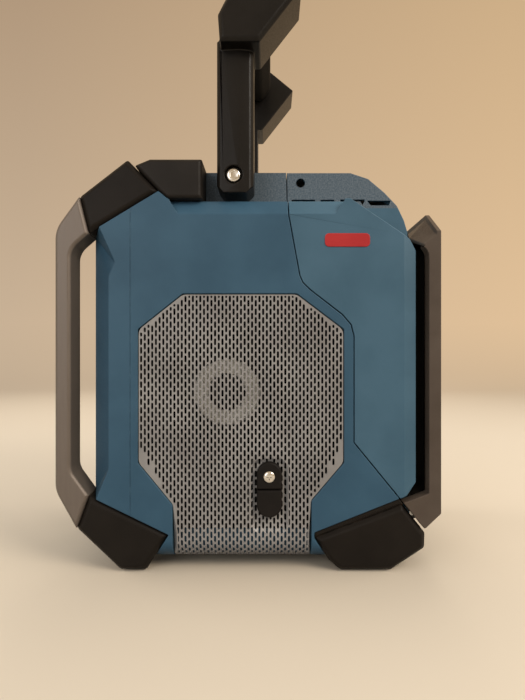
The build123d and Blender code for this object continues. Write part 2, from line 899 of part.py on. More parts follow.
with BuildPart() as latch_pin:
    with BuildSketch(Plane.YZ):
        with Locations((latch_pin_y, latch_pin_z)):
            RegularPolygon(latch_pin_radius, pin_flats)
    extrude(amount=latch_width / 2 + fit_gap + wall, both=True)
    with BuildSketch(Plane.YZ):
        with Locations((latch_pin_y, latch_pin_z)):
            Circle(latch_pin_radius)
    extrude(amount=latch_width / 2, both=True)
latch_pin.part.label = "latch_pin"
export_step(latch_pin.part, "parts/latch_pin.step")

# ---------------------------------------------------------------- grilles
with BuildSketch() as slot_field:
    add(grille_outline.sketch_local)
    offset(amount=-slot_margin - slot_width / 2, kind=Kind.INTERSECTION, mode=Mode.REPLACE)
field_face = slot_field.sketch_local.faces()[0]


def slot_fits(y, z):
    """True where a whole slot lies inside the grille's plain border."""
    reach = (slot_length - slot_width) / 2
    top_fits = field_face.is_inside(Vector(y, z + reach, 0), 0.01)
    bottom_fits = field_face.is_inside(Vector(y, z - reach, 0), 0.01)
    return top_fits and bottom_fits


dc_centre_z = (dc_top + dc_bottom) / 2
plate_half_width = dc_width / 2 + dc_plate_margin + slot_width
plate_half_height = (dc_top - dc_bottom) / 2 + dc_plate_margin + slot_width / 2 + slot_length / 2
column_count = int((grille_rear_y - grille_front_y) / slot_pitch)
row_count = int((grille_top - housing_bottom) / slot_period)
slot_places = []
plate_places = []
for column in range(column_count):
    column_y = grille_front_y + slot_margin + slot_width + column * slot_pitch
    stagger = slot_period / 2 * (column % 2)
    for row in range(row_count):
        row_z = grille_top - slot_margin - slot_length / 2 - stagger - row * slot_period
        if not slot_fits(column_y, row_z):
            continue
        beside_plate = abs(column_y - dc_y) > plate_half_width
        past_plate = abs(row_z - dc_centre_z) > plate_half_height
        if beside_plate or past_plate:
            slot_places.append((column_y, row_z))
        else:
            plate_places.append((column_y, row_z))

with BuildSketch() as grille_profile:
    with BuildLine():
        bend_centre = (grille_face - grille_bend_radius, housing_bottom + grille_bend_radius)
        face_line = Line((grille_face, grille_top), (grille_face, bend_centre[1]))
        outer_bend = CenterArc(bend_centre, grille_bend_radius, 0, -grille_bend_angle)
        inner_bend = CenterArc(
            bend_centre, grille_bend_radius - grille_thickness, 0, -grille_bend_angle
        )
        back_line = Line(inner_bend @ 0, (grille_face - grille_thickness, grille_top))
        Line(face_line @ 0, back_line @ 1)
        Line(outer_bend @ 1, inner_bend @ 1)
    make_face()

with BuildPart() as grille_right:
    with BuildSketch(Plane.XZ):
        add(grille_profile.sketch_local)
    extrude(amount=far, both=True)
    with BuildSketch(Plane.YZ):
        add(grille_outline.sketch_local)
    extrude(amount=half_width, mode=Mode.INTERSECT)
    with BuildSketch(Plane.YZ.offset(grille_face - 2 * grille_thickness)):
        with Locations(slot_places):
            Rectangle(slot_width, slot_length)
    extrude(amount=4 * grille_thickness, mode=Mode.SUBTRACT)
    with BuildSketch(Plane.YZ.offset(grille_face - 2 * grille_thickness)):
        add(dc_plate_outline.sketch_local)
        offset(amount=seat_gap, kind=Kind.INTERSECTION, mode=Mode.REPLACE)
    extrude(amount=4 * grille_thickness, mode=Mode.SUBTRACT)
grille_right.part.label = "grille_right"
export_step(grille_right.part, "parts/grille_right.step")

with BuildPart() as grille_left:
    with BuildSketch(Plane.XZ):
        add(grille_profile.sketch_local)
    extrude(amount=far, both=True)
    with BuildSketch(Plane.YZ):
        add(grille_outline.sketch_local)
    extrude(amount=half_width, mode=Mode.INTERSECT)
    with BuildSketch(Plane.YZ.offset(grille_face - 2 * grille_thickness)):
        with Locations(slot_places + plate_places):
            Rectangle(slot_width, slot_length)
    extrude(amount=4 * grille_thickness, mode=Mode.SUBTRACT)
    mirror(about=Plane.YZ, mode=Mode.REPLACE)
grille_left.part.label = "grille_left"
export_step(grille_left.part, "parts/grille_left.step")

# ---------------------------------------------------------------- speakers, one behind each grille
with BuildPart() as speaker_baffles:
    with BuildSketch(Plane.YZ.offset(baffle_face - baffle_thickness)):
        add(grille_outline.sketch_local)
        offset(amount=2 * baffle_thickness, kind=Kind.INTERSECTION, mode=Mode.REPLACE)
        add(side_deep.sketch_local, mode=Mode.INTERSECT)
        add(door_zone_wide.sketch_local, mode=Mode.SUBTRACT)
        add(bulkhead_zone.sketch_local, mode=Mode.SUBTRACT)
    extrude(amount=shell_inner - baffle_face + baffle_thickness)
    with BuildSketch(Plane.YZ.offset(baffle_face)):
        add(grille_outline.sketch_local)
        offset(amount=baffle_thickness, kind=Kind.INTERSECTION, mode=Mode.REPLACE)
    extrude(amount=half_width, mode=Mode.SUBTRACT)
    with BuildSketch(Plane.YZ.offset(baffle_face - baffle_thickness)):
        with Locations((speaker_y, speaker_z)):
            RegularPolygon(cone_radius + fit_gap, basket_sides, major_radius=False)
    extrude(amount=half_width, mode=Mode.SUBTRACT)
    mirror(about=Plane.YZ)
speaker_baffles.part.label = "speaker_baffles"
export_step(speaker_baffles.part, "parts/speaker_baffles.step")

with BuildPart() as basket_room:
    with BuildSketch(Plane.YZ.offset(basket_back + basket_plate)):
        with Locations((speaker_y, speaker_z)):
            RegularPolygon(cone_neck + fit_gap, basket_sides, major_radius=False)
    extrude(amount=basket_depth - basket_plate)
    room_back = basket_room.faces().sort_by(Axis.X)[0]
    chamfer(
        room_back.edges(),
        length=cone_neck - magnet_radius,
        length2=basket_depth - 2 * basket_plate,
        reference=room_back,
    )

with BuildPart() as speaker_baskets:
    with BuildSketch(Plane.YZ.offset(basket_back)):
        with Locations((speaker_y, speaker_z)):
            RegularPolygon(cone_neck + 2 * basket_plate, basket_sides, major_radius=False)
    extrude(amount=basket_depth)
    back_face = speaker_baskets.faces().sort_by(Axis.X)[0]
    chamfer(
        back_face.edges(),
        length=cone_neck - magnet_radius,
        length2=basket_depth - basket_plate,
        reference=back_face,
    )
    with BuildSketch(Plane.YZ.offset(basket_face)):
        with Locations((speaker_y, speaker_z)):
            RegularPolygon(basket_radius, basket_sides, major_radius=False)
    extrude(amount=-basket_plate)
    add(basket_room.part, mode=Mode.SUBTRACT)
    mirror(about=Plane.YZ)
speaker_baskets.part.label = "speaker_baskets"
export_step(speaker_baskets.part, "parts/speaker_baskets.step")

with BuildPart() as speaker_magnets:
    with BuildSketch(Plane.YZ.offset(basket_back)):
        with Locations((speaker_y, speaker_z)):
            RegularPolygon(magnet_radius, small_sides)
    extrude(amount=-magnet_length)
    mirror(about=Plane.YZ)
speaker_magnets.part.label = "speaker_magnets"
export_step(speaker_magnets.part, "parts/speaker_magnets.step")

cone_slope = cone_neck - ring_outer
with BuildPart() as cone_room:
    with BuildSketch(Plane.YZ.offset(cone_face)):
        with Locations((speaker_y, speaker_z)):
            RegularPolygon(cone_neck - cone_skin, large_sides)
    extrude(amount=cone_depth)
    room_back = cone_room.faces().sort_by(Axis.X)[0]
    chamfer(
        room_back.edges(),
        length=cone_slope - 2 * cone_skin,
        length2=cone_depth - cone_skin,
        reference=room_back,
    )

with BuildPart() as speaker_cones:
    with BuildSketch(Plane.YZ.offset(cone_face - cone_skin)):
        with Locations((speaker_y, speaker_z)):
            RegularPolygon(cone_neck, large_sides)
    extrude(amount=cone_depth)
    back_face = speaker_cones.faces().sort_by(Axis.X)[0]
    chamfer(
        back_face.edges(),
        length=cone_slope,
        length2=cone_depth - cone_skin,
        reference=back_face,
    )
    with BuildSketch(Plane.YZ.offset(basket_face)):
        with Locations((speaker_y, speaker_z)):
            RegularPolygon(cone_radius, large_sides)
    extrude(amount=cone_skin)
    add(cone_room.part, mode=Mode.SUBTRACT)
    mirror(about=Plane.YZ)
speaker_cones.part.label = "speaker_cones"
export_step(speaker_cones.part, "parts/speaker_cones.step")

with BuildPart() as cone_rings:
    with BuildSketch(Plane.YZ.offset(cone_face)):
        with Locations((speaker_y, speaker_z)):
            RegularPolygon(ring_outer, large_sides)
            RegularPolygon(ring_inner, large_sides, mode=Mode.SUBTRACT)
    extrude(amount=ring_height)
    mirror(about=Plane.YZ)
cone_rings.part.label = "cone_rings"
export_step(cone_rings.part, "parts/cone_rings.step")

# ---------------------------------------------------------------- DC socket and its cover
dish_face = grille_face - dc_plate_sink
with BuildPart() as dc_socket_housing:
    with BuildSketch(Plane.YZ.offset(baffle_face)):
        add(dc_plate_outline.sketch_local)
    extrude(amount=grille_face - baffle_face)
    with BuildSketch(Plane.YZ.offset(dish_face)):
        add(dc_plate_outline.sketch_local)
        offset(amount=-wall / 2, kind=Kind.INTERSECTION, mode=Mode.REPLACE)
    extrude(amount=grille_face, mode=Mode.SUBTRACT)
    with BuildSketch(Plane.YZ.offset(dish_face)):
        with Locations((dc_y, dc_jack_z)):
            Rectangle(dc_jack_side, dc_jack_side)
    extrude(amount=-dc_jack_length, mode=Mode.SUBTRACT)
dc_socket_housing.part.label = "dc_socket_housing"
export_step(dc_socket_housing.part, "parts/dc_socket_housing.step")

with BuildPart() as dc_jack:
    with BuildSketch(Plane.YZ.offset(dish_face - dc_jack_length)):
        with Locations((dc_y, dc_jack_z)):
            Rectangle(dc_jack_side, dc_jack_side)
    extrude(amount=dc_jack_length)
    with BuildSketch(Plane.YZ.offset(dish_face - dc_jack_length + dc_jack_wall)):
        with Locations((dc_y, dc_jack_z)):
            RegularPolygon(dc_jack_side / 2 - dc_jack_wall, small_sides)
            RegularPolygon(dc_pin_radius, pin_flats, mode=Mode.SUBTRACT)
    extrude(amount=dc_jack_length, mode=Mode.SUBTRACT)
dc_jack.part.label = "dc_jack"
export_step(dc_jack.part, "parts/dc_jack.step")

with BuildPart() as dc_cap_anchor:
    with BuildSketch(Plane.YZ.offset(dish_face)):
        with Locations((dc_y, dc_centre_z)):
            SlotOverall(dc_top - dc_bottom, dc_width, rotation=90)
        with Locations((dc_y, dc_crease + dc_crease_gap / 2)):
            Rectangle(2 * dc_width, far, align=(Align.CENTER, Align.MAX), mode=Mode.SUBTRACT)
    extrude(amount=dc_face - dish_face)
    chamfer(dc_cap_anchor.faces().sort_by(Axis.X)[-1].edges(), length=dc_bevel)
    with BuildSketch(Plane.YZ.offset(dc_face)):
        with Locations((dc_y, dc_screw_z)):
            RegularPolygon(dc_screw_radius, large_sides)
    extrude(amount=-dc_bevel, mode=Mode.SUBTRACT)
    with BuildSketch(Plane.YZ.offset(dish_face)):
        with Locations((dc_y, dc_screw_z)):
            RegularPolygon(screw_radius, pin_flats)
    extrude(amount=half_width, mode=Mode.SUBTRACT)
dc_cap_anchor.part.label = "dc_cap_anchor"
export_step(dc_cap_anchor.part, "parts/dc_cap_anchor.step")

with BuildPart() as dc_cap:
    with BuildSketch(Plane.YZ.offset(dish_face + seat_gap)):
        with Locations((dc_y, dc_centre_z)):
            SlotOverall(dc_top - dc_bottom, dc_width, rotation=90)
        with Locations((dc_y, dc_crease - dc_crease_gap / 2)):
            Rectangle(2 * dc_width, far, align=(Align.CENTER, Align.MIN), mode=Mode.SUBTRACT)
    extrude(amount=dc_face - dish_face - seat_gap)
    chamfer(dc_cap.faces().sort_by(Axis.X)[-1].edges(), length=dc_bevel)
dc_cap.part.label = "dc_cap"
export_step(dc_cap.part, "parts/dc_cap.step")

with BuildPart() as dc_cap_screw:
    with BuildSketch(Plane.YZ.offset(dc_face - dc_bevel)):
        with Locations((dc_y, dc_screw_z)):
            RegularPolygon(dc_screw_radius, large_sides)
    extrude(amount=dc_screw_height)
    chamfer(dc_cap_screw.faces().sort_by(Axis.X)[-1].edges(), length=dc_screw_height / 2)
    with BuildSketch(Plane.YZ.offset(dish_face)):
        with Locations((dc_y, dc_screw_z)):
            RegularPolygon(screw_radius, pin_flats)
    extrude(amount=dc_face - dc_bevel - dish_face)
    with BuildSketch(Plane.YZ.offset(dc_face - dc_bevel + dc_screw_height)):
        with Locations((dc_y, dc_screw_z)):
            Rectangle(dc_screw_radius, screw_slot)
            Rectangle(screw_slot, dc_screw_radius)
    extrude(amount=-dc_screw_height / 2, mode=Mode.SUBTRACT)
dc_cap_screw.part.label = "dc_cap_screw"
export_step(dc_cap_screw.part, "parts/dc_cap_screw.step")

# ---------------------------------------------------------------- guard bars
with BuildPart() as guard_bar_right:
    with BuildSketch(Plane.YZ.offset(half_width - bar_depth)):
        with BuildLine():
            outer = FilletPolyline(
                bar_top_outer,
                (-front_reach, bar_top_bend),
                (-front_reach, bar_bottom_bend),
                bar_bottom_outer,
                radius=bar_outer_round,
            )
            inner = FilletPolyline(
                bar_top_inner,
                (bar_thickness - front_reach, bar_top_bend - bar_bend_step),
                (bar_thickness - front_reach, bar_bottom_bend + bar_bend_step),
                bar_bottom_inner,
                radius=bar_inner_round,
            )
            Line(outer @ 0, inner @ 0)
            Line(outer @ 1, inner @ 1)
        make_face()
    extrude(amount=bar_depth)
    chamfer(guard_bar_right.faces().sort_by(Axis.X)[-1].edges(), length=bar_edge)
    chamfer(guard_bar_right.faces().sort_by(Axis.X)[0].edges(), length=bar_edge)
guard_bar_right.part.label = "guard_bar_right"
export_step(guard_bar_right.part, "parts/guard_bar_right.step")

with BuildPart() as guard_bar_left:
    mirror(guard_bar_right.part, about=Plane.YZ)
guard_bar_left.part.label = "guard_bar_left"
export_step(guard_bar_left.part, "parts/guard_bar_left.step")

# ---------------------------------------------------------------- corner bumpers and hoods
front_top_points = [bar_top_inner, bar_top_outer, front_top_tip, front_top_high]
front_bottom_points = [
    bar_bottom_inner,
    front_bottom_low,
    front_bottom_heel,
    front_bottom_toe,
    bar_bottom_outer,
]
hood_points = [
    hood_nose,
    hood_top_front,
    (arm_front - hood_gap, body_height),
    (arm_front - hood_gap, ledge_z),
    ledge_start,
    hood_foot,
]

with BuildPart() as front_top_bumper_right:
    with BuildSketch(Plane.YZ.offset(half_deck)):
        with BuildLine():
            Polyline(front_top_points, close=True)
        make_face()
    extrude(amount=half_width - half_deck)
    chamfer(front_top_bumper_right.faces().sort_by(Axis.X)[-1].edges(), length=bumper_bevel)
front_top_bumper_right.part.label = "front_top_bumper_right"
export_step(front_top_bumper_right.part, "parts/front_top_bumper_right.step")

with BuildPart() as front_top_bumper_left:
    mirror(front_top_bumper_right.part, about=Plane.YZ)
front_top_bumper_left.part.label = "front_top_bumper_left"
export_step(front_top_bumper_left.part, "parts/front_top_bumper_left.step")

with BuildPart() as front_bottom_bumper_right:
    with BuildSketch(Plane.YZ.offset(half_deck)):
        with BuildLine():
            Polyline(front_bottom_points, close=True)
        make_face()
    extrude(amount=half_width - half_deck)
    chamfer(front_bottom_bumper_right.faces().sort_by(Axis.X)[-1].edges(), length=bumper_bevel)
    with BuildSketch(Plane.XY.offset(foot_proud)):
        with Locations((foot_x, front_foot_y)):
            Rectangle(*foot_size)
    extrude(amount=foot_thickness - foot_proud, mode=Mode.SUBTRACT)
front_bottom_bumper_right.part.label = "front_bottom_bumper_right"
export_step(front_bottom_bumper_right.part, "parts/front_bottom_bumper_right.step")

with BuildPart() as front_bottom_bumper_left:
    mirror(front_bottom_bumper_right.part, about=Plane.YZ)
front_bottom_bumper_left.part.label = "front_bottom_bumper_left"
export_step(front_bottom_bumper_left.part, "parts/front_bottom_bumper_left.step")

with BuildPart() as rear_bottom_bumper_right:
    with BuildSketch(Plane.YZ.offset(half_deck)):
        add(rear_bumper_outline.sketch_local)
    extrude(amount=half_width - half_deck)
    chamfer(rear_bottom_bumper_right.faces().sort_by(Axis.X)[-1].edges(), length=bumper_bevel)
    with BuildSketch(Plane.YZ.offset(half_deck)):
        add(rear_rim_outline.sketch_local)
    extrude(amount=half_width - rim_recess - half_deck)
    with BuildSketch(Plane.XY.offset(foot_proud)):
        with Locations((foot_x, rear_foot_y)):
            Rectangle(*foot_size)
    extrude(amount=foot_thickness - foot_proud, mode=Mode.SUBTRACT)
rear_bottom_bumper_right.part.label = "rear_bottom_bumper_right"
export_step(rear_bottom_bumper_right.part, "parts/rear_bottom_bumper_right.step")

with BuildPart() as rear_bottom_bumper_left:
    mirror(rear_bottom_bumper_right.part, about=Plane.YZ)
rear_bottom_bumper_left.part.label = "rear_bottom_bumper_left"
export_step(rear_bottom_bumper_left.part, "parts/rear_bottom_bumper_left.step")

with BuildPart() as hood_right:
    with BuildSketch(Plane.YZ.offset(half_deck)):
        with BuildLine():
            Polyline(hood_points, close=True)
        make_face()
    extrude(amount=half_width - half_deck)
    chamfer(hood_right.faces().sort_by(Axis.X)[-1].edges(), length=hood_bevel)
hood_right.part.label = "hood_right"
export_step(hood_right.part, "parts/hood_right.step")

with BuildPart() as hood_left:
    mirror(hood_right.part, about=Plane.YZ)
hood_left.part.label = "hood_left"
export_step(hood_left.part, "parts/hood_left.step")

with BuildPart() as feet:
    with BuildSketch():
        for foot_y in (front_foot_y, rear_foot_y):
            with Locations((foot_x, foot_y), (-foot_x, foot_y)):
                Rectangle(*foot_size)
    extrude(amount=foot_thickness)
feet.part.label = "feet"
export_step(feet.part, "parts/feet.step")

# ---------------------------------------------------------------- control panel
with BuildPart() as front_panel:
    with BuildSketch(front_plane(front_face)):
        with Locations((0, panel_z)):
            Rectangle(panel_width, panel_height)
    extrude(amount=panel_thickness)
    chamfer(front_panel.edges().filter_by(Axis.Y), length=panel_corner)
    chamfer(front_panel.faces().sort_by(Axis.Y)[0].edges(), length=panel_bevel)
    with BuildSketch(front_plane(front_face)):
        with Locations((0, display_z)):
            add(window_outline.sketch_local)
        with Locations(*[(x, preset_z) for x in preset_x]):
            Rectangle(button_width + 2 * fit_gap, button_height + 2 * fit_gap)
        with Locations((power_x, control_row_z)):
            RegularPolygon(power_radius + fit_gap, small_sides)
        with Locations((source_x, control_row_z)):
            Rectangle(button_width + 2 * fit_gap, button_height + 2 * fit_gap)
        with Locations((0, dial_z)):
            RegularPolygon(dial_shaft_radius + 2 * fit_gap, small_sides)
        with Locations((0, port_z)):
            Rectangle(port_width, port_height)
    extrude(amount=panel_thickness, mode=Mode.SUBTRACT)
front_panel.part.label = "front_panel"
export_step(front_panel.part, "parts/front_panel.step")

with BuildPart() as display_window:
    with BuildSketch(front_plane(window_back)):
        with Locations((0, display_z)):
            add(window_outline.sketch_local)
    extrude(amount=window_thickness + window_proud)
    chamfer(display_window.faces().sort_by(Axis.Y)[0].edges(), length=window_proud)
display_window.part.label = "display_window"
export_step(display_window.part, "parts/display_window.step")

with BuildPart() as display_module:
    with BuildSketch(front_plane(board_front)):
        with Locations((0, display_z)):
            Rectangle(display_width - 2 * wall, display_height - 2 * wall)
    extrude(amount=board_front - window_back)
display_module.part.label = "display_module"
export_step(display_module.part, "parts/display_module.step")

board_bottom = port_z - port_height / 2 - board_overlap
board_top = display_z + display_height / 2 - board_overlap
with BuildPart() as key_board:
    with BuildSketch(front_plane(board_back)):
        with Locations((0, board_bottom)):
            Rectangle(board_span, board_top - board_bottom, align=(Align.CENTER, Align.MIN))
        with Locations((0, dial_z)):
            RegularPolygon(dial_shaft_radius + 2 * fit_gap, small_sides, mode=Mode.SUBTRACT)
    extrude(amount=board_thickness)
key_board.part.label = "key_board"
export_step(key_board.part, "parts/key_board.step")

button_back = board_front - button_travel - board_gap
button_front = panel_front - button_proud

with BuildPart() as power_button:
    with BuildSketch(front_plane(button_back)):
        with Locations((power_x, control_row_z)):
            RegularPolygon(power_radius, small_sides)
    extrude(amount=button_back - button_front)
    chamfer(power_button.faces().sort_by(Axis.Y)[0].edges(), length=button_bevel)
power_button.part.label = "power_button"
export_step(power_button.part, "parts/power_button.step")

with BuildPart() as source_button:
    with BuildSketch(front_plane(button_back)):
        with Locations((source_x, control_row_z)):
            Rectangle(button_width, button_height)
    extrude(amount=button_back - button_front)
    chamfer(source_button.faces().sort_by(Axis.Y)[0].edges(), length=button_bevel)
source_button.part.label = "source_button"
export_step(source_button.part, "parts/source_button.step")

for number, x in enumerate(preset_x, start=1):
    with BuildPart() as preset_button:
        with BuildSketch(front_plane(button_back)):
            with Locations((x, preset_z)):
                Rectangle(button_width, button_height)
        extrude(amount=button_back - button_front)
        chamfer(preset_button.faces().sort_by(Axis.Y)[0].edges(), length=button_bevel)
    preset_button.part.label = f"preset_button_{number}"
    export_step(preset_button.part, f"parts/preset_button_{number}.step")

dial_back = panel_front - dial_gap
dial_front = dial_back - dial_depth
shaft_end = dial_front + 2 * dial_skirt
with BuildPart() as dial_encoder:
    with BuildSketch(front_plane(board_back + encoder_depth)):
        with Locations((0, dial_z)):
            Rectangle(encoder_side, encoder_side)
    extrude(amount=encoder_depth)
    with BuildSketch(front_plane(board_back)):
        with Locations((0, dial_z)):
            Circle(dial_shaft_radius)
    extrude(amount=board_back - shaft_end)
dial_encoder.part.label = "dial_encoder"
export_step(dial_encoder.part, "parts/dial_encoder.step")

with BuildPart() as tuning_dial:
    with BuildSketch(front_plane(dial_back)):
        with Locations((0, dial_z)):
            RegularPolygon(dial_radius, 2 * dial_flute_count)
    extrude(amount=dial_skirt)
    with BuildSketch(front_plane(dial_back)):
        with Locations((0, dial_z)):
            RegularPolygon(dial_radius - dial_step, dial_flute_count)
            with PolarLocations(dial_radius - dial_step, dial_flute_count):
                RegularPolygon(dial_flute, 4, mode=Mode.SUBTRACT)
    extrude(amount=dial_depth)
    with BuildSketch(front_plane(dial_front)):
        with Locations((0, dial_z)):
            RegularPolygon(dial_radius - dial_dish_margin, dial_flute_count)
    extrude(amount=-dial_dish, mode=Mode.SUBTRACT)
    with BuildSketch(front_plane(dial_back)):
        with Locations((0, dial_z)):
            Circle(dial_shaft_radius + shaft_gap)
    extrude(amount=dial_back - shaft_end + fit_gap, mode=Mode.SUBTRACT)
tuning_dial.part.label = "tuning_dial"
export_step(tuning_dial.part, "parts/tuning_dial.step")

port_front = board_front - port_depth
with BuildPart() as usb_port:
    with BuildSketch(front_plane(board_front)):
        with Locations((-port_spacing / 2, port_z)):
            Rectangle(usb_width, usb_height)
    extrude(amount=port_depth)
    with BuildSketch(front_plane(port_front)):
        with Locations((-port_spacing / 2, port_z)):
            Rectangle(usb_width - 2 * usb_wall, usb_height - 2 * usb_wall)
    extrude(amount=-port_mouth, mode=Mode.SUBTRACT)
usb_port.part.label = "usb_port"
export_step(usb_port.part, "parts/usb_port.step")

with BuildPart() as audio_jack:
    with BuildSketch(front_plane(board_front)):
        with Locations((port_spacing / 2, port_z)):
            Rectangle(2 * jack_radius, 2 * jack_radius)
    extrude(amount=port_depth)
    with BuildSketch(front_plane(port_front)):
        with Locations((port_spacing / 2, port_z)):
            RegularPolygon(jack_bore_radius, small_sides)
    extrude(amount=-port_mouth, mode=Mode.SUBTRACT)
audio_jack.part.label = "audio_jack"
export_step(audio_jack.part, "parts/audio_jack.step")

with BuildPart() as port_cap:
    with BuildSketch(front_plane(port_front - seat_gap)):
        with Locations((0, port_z)):
            Rectangle(port_width - 2 * fit_gap, port_height - 2 * fit_gap)
    extrude(amount=port_front - seat_gap - panel_front + port_cap_proud)
    chamfer(port_cap.faces().sort_by(Axis.Y)[0].edges(), length=port_cap_proud / 2)
port_cap.part.label = "port_cap"
export_step(port_cap.part, "parts/port_cap.step")

# ---------------------------------------------------------------- antenna
with BuildPart() as antenna_mount:
    with BuildSketch(Plane.XY.offset(deck_top)):
        with Locations((antenna_x, antenna_base_y)):
            Rectangle(antenna_mount_width, antenna_mount_length)
    extrude(amount=antenna_lift + antenna_eye_radius)
    chamfer(
        antenna_mount.edges().filter_by(Axis.X).group_by(Axis.Z)[-1],
        length=antenna_eye_radius / 2,
    )
    with BuildSketch(Plane.XY.offset(deck_top + antenna_lift - antenna_eye_radius - fit_gap)):
        with Locations((antenna_x, antenna_base_y)):
            Rectangle(antenna_eye_width + 2 * fit_gap, 2 * antenna_mount_length)
    extrude(amount=4 * antenna_eye_radius, mode=Mode.SUBTRACT)
    with BuildSketch(Plane.YZ.offset(antenna_x)):
        with Locations((antenna_base_y, deck_top + antenna_lift)):
            RegularPolygon(antenna_pin_radius, pin_flats)
    extrude(amount=antenna_mount_width / 2, both=True, mode=Mode.SUBTRACT)
antenna_mount.part.label = "antenna_mount"
export_step(antenna_mount.part, "parts/antenna_mount.step")

with BuildPart() as antenna_pin:
    with BuildSketch(Plane.YZ.offset(antenna_x)):
        with Locations((antenna_base_y, deck_top + antenna_lift)):
            RegularPolygon(antenna_pin_radius, pin_flats)
    extrude(amount=antenna_mount_width / 2, both=True)
    with BuildSketch(Plane.YZ.offset(antenna_x)):
        with Locations((antenna_base_y, deck_top + antenna_lift)):
            Circle(antenna_pin_radius)
    extrude(amount=antenna_eye_width / 2, both=True)
antenna_pin.part.label = "antenna_pin"
export_step(antenna_pin.part, "parts/antenna_pin.step")

with BuildPart() as antenna:
    with BuildSketch(Plane.YZ.offset(antenna_x)):
        with Locations((antenna_base_y, deck_top + antenna_lift)):
            RegularPolygon(antenna_eye_radius, knuckle_sides)
    extrude(amount=antenna_eye_width / 2, both=True)
    with BuildSketch(front_plane(antenna_base_y)):
        with Locations((antenna_x, deck_top + antenna_lift)):
            RegularPolygon(antenna_radius, small_sides)
    extrude(amount=-antenna_length / 4)
    with BuildSketch(front_plane(antenna_base_y)):
        with Locations((antenna_x, deck_top + antenna_lift)):
            RegularPolygon(antenna_tip_radius, small_sides)
    extrude(amount=-antenna_length)
    with BuildSketch(Plane.YZ.offset(antenna_x)):
        with Locations((antenna_base_y, deck_top + antenna_lift)):
            Circle(antenna_pin_radius + shaft_gap)
    extrude(amount=antenna_mount_width / 2, both=True, mode=Mode.SUBTRACT)
antenna.part.label = "antenna"
export_step(antenna.part, "parts/antenna.step")

# ---------------------------------------------------------------- handle
with BuildPart() as handle_arm_right:
    with BuildSketch(Plane.XY.offset(arm_bottom)):
        with BuildLine():
            Polyline(
                (arm_inner, arm_front),
                (arm_outer - arm_edge, arm_front),
                (arm_outer, arm_front + arm_edge),
                (arm_outer + arm_ridge, arm_ridge_y),
                (arm_outer, arm_back - arm_edge),
                (arm_outer - arm_edge, arm_back),
                (arm_inner, arm_back),
                close=True,
            )
        make_face()
    extrude(amount=arm_top - arm_bottom)
    bottom_edges = handle_arm_right.faces().sort_by(Axis.Z)[0].edges().filter_by(Axis.X)
    chamfer(bottom_edges, length=arm_foot_bevel)
    with BuildSketch(Plane.YZ.offset(arm_inner)):
        with BuildLine():
            Polyline(block_points, close=True)
        make_face()
    extrude(amount=block_outer - arm_inner)
    outer_face = handle_arm_right.faces().sort_by(Axis.X)[-1]
    chamfer(outer_face.edges(), length=block_bevel)
    with BuildSketch(Plane.YZ.offset(arm_inner)):
        with Locations((pivot_y, pivot_z)):
            Circle(pivot_radius + shaft_gap)
    extrude(amount=half_width, mode=Mode.SUBTRACT)
    with BuildSketch(Plane.YZ.offset(arm_outer - pivot_recess_depth)):
        with Locations((pivot_y, pivot_z)):
            RegularPolygon(pivot_recess_radius, large_sides)
    extrude(amount=half_width, mode=Mode.SUBTRACT)
handle_arm_right.part.label = "handle_arm_right"
export_step(handle_arm_right.part, "parts/handle_arm_right.step")

with BuildPart() as handle_arm_left:
    mirror(handle_arm_right.part, about=Plane.YZ)
handle_arm_left.part.label = "handle_arm_left"
export_step(handle_arm_left.part, "parts/handle_arm_left.step")

with BuildPart() as handle_grip:
    with BuildSketch(Plane.YZ.offset(-arm_inner)):
        with Locations((grip_y, grip_z)):
            add(grip_section.sketch_local)
    extrude(amount=2 * arm_inner)
    for end_face in (
        handle_grip.faces().sort_by(Axis.X)[0],
        handle_grip.faces().sort_by(Axis.X)[-1],
    ):
        chamfer(
            end_face.edges(),
            length=grip_waist,
            length2=arm_inner - grip_full_half,
            reference=end_face,
        )
handle_grip.part.label = "handle_grip"
export_step(handle_grip.part, "parts/handle_grip.step")

pivot_head_base = arm_outer - pivot_recess_depth + seat_gap
with BuildPart() as handle_pivot_screws:
    with BuildSketch(Plane.YZ.offset(half_deck - pivot_screw_grip)):
        with Locations((pivot_y, pivot_z)):
            RegularPolygon(pivot_radius, pin_flats)
    extrude(amount=pivot_screw_grip)
    with BuildSketch(Plane.YZ.offset(half_deck)):
        with Locations((pivot_y, pivot_z)):
            Circle(pivot_radius)
    extrude(amount=pivot_head_base - half_deck)
    with BuildSketch(Plane.YZ.offset(pivot_head_base)):
        with Locations((pivot_y, pivot_z)):
            RegularPolygon(pivot_head_radius, large_sides)
    extrude(amount=pivot_head_height)
    head_edge = handle_pivot_screws.faces().sort_by(Axis.X)[-1].edges()
    chamfer(head_edge, length=pivot_head_height / 2)
    with BuildSketch(Plane.YZ.offset(pivot_head_base + pivot_head_height)):
        with Locations((pivot_y, pivot_z)):
            RegularPolygon(pivot_socket_radius, 6)
    extrude(amount=-pivot_socket_depth, mode=Mode.SUBTRACT)
    mirror(about=Plane.YZ)
handle_pivot_screws.part.label = "handle_pivot_screws"
export_step(handle_pivot_screws.part, "parts/handle_pivot_screws.step")

# ---------------------------------------------------------------- main board and housing screws
with BuildPart() as main_board:
    with BuildSketch(Plane.XY.offset(housing_bottom + wall)):
        Rectangle(board_width, board_length)
    extrude(amount=board_thickness)
    with BuildSketch(Plane.XY.offset(housing_bottom + wall + board_thickness)):
        with Locations((0, board_length / 4)):
            Rectangle(board_width / 2, board_length / 6)
        with GridLocations(board_width / 2, board_length / 3, 2, 1):
            Rectangle(board_width / 6, board_length / 6)
    extrude(amount=chip_height)
main_board.part.label = "main_board"
export_step(main_board.part, "parts/main_board.step")

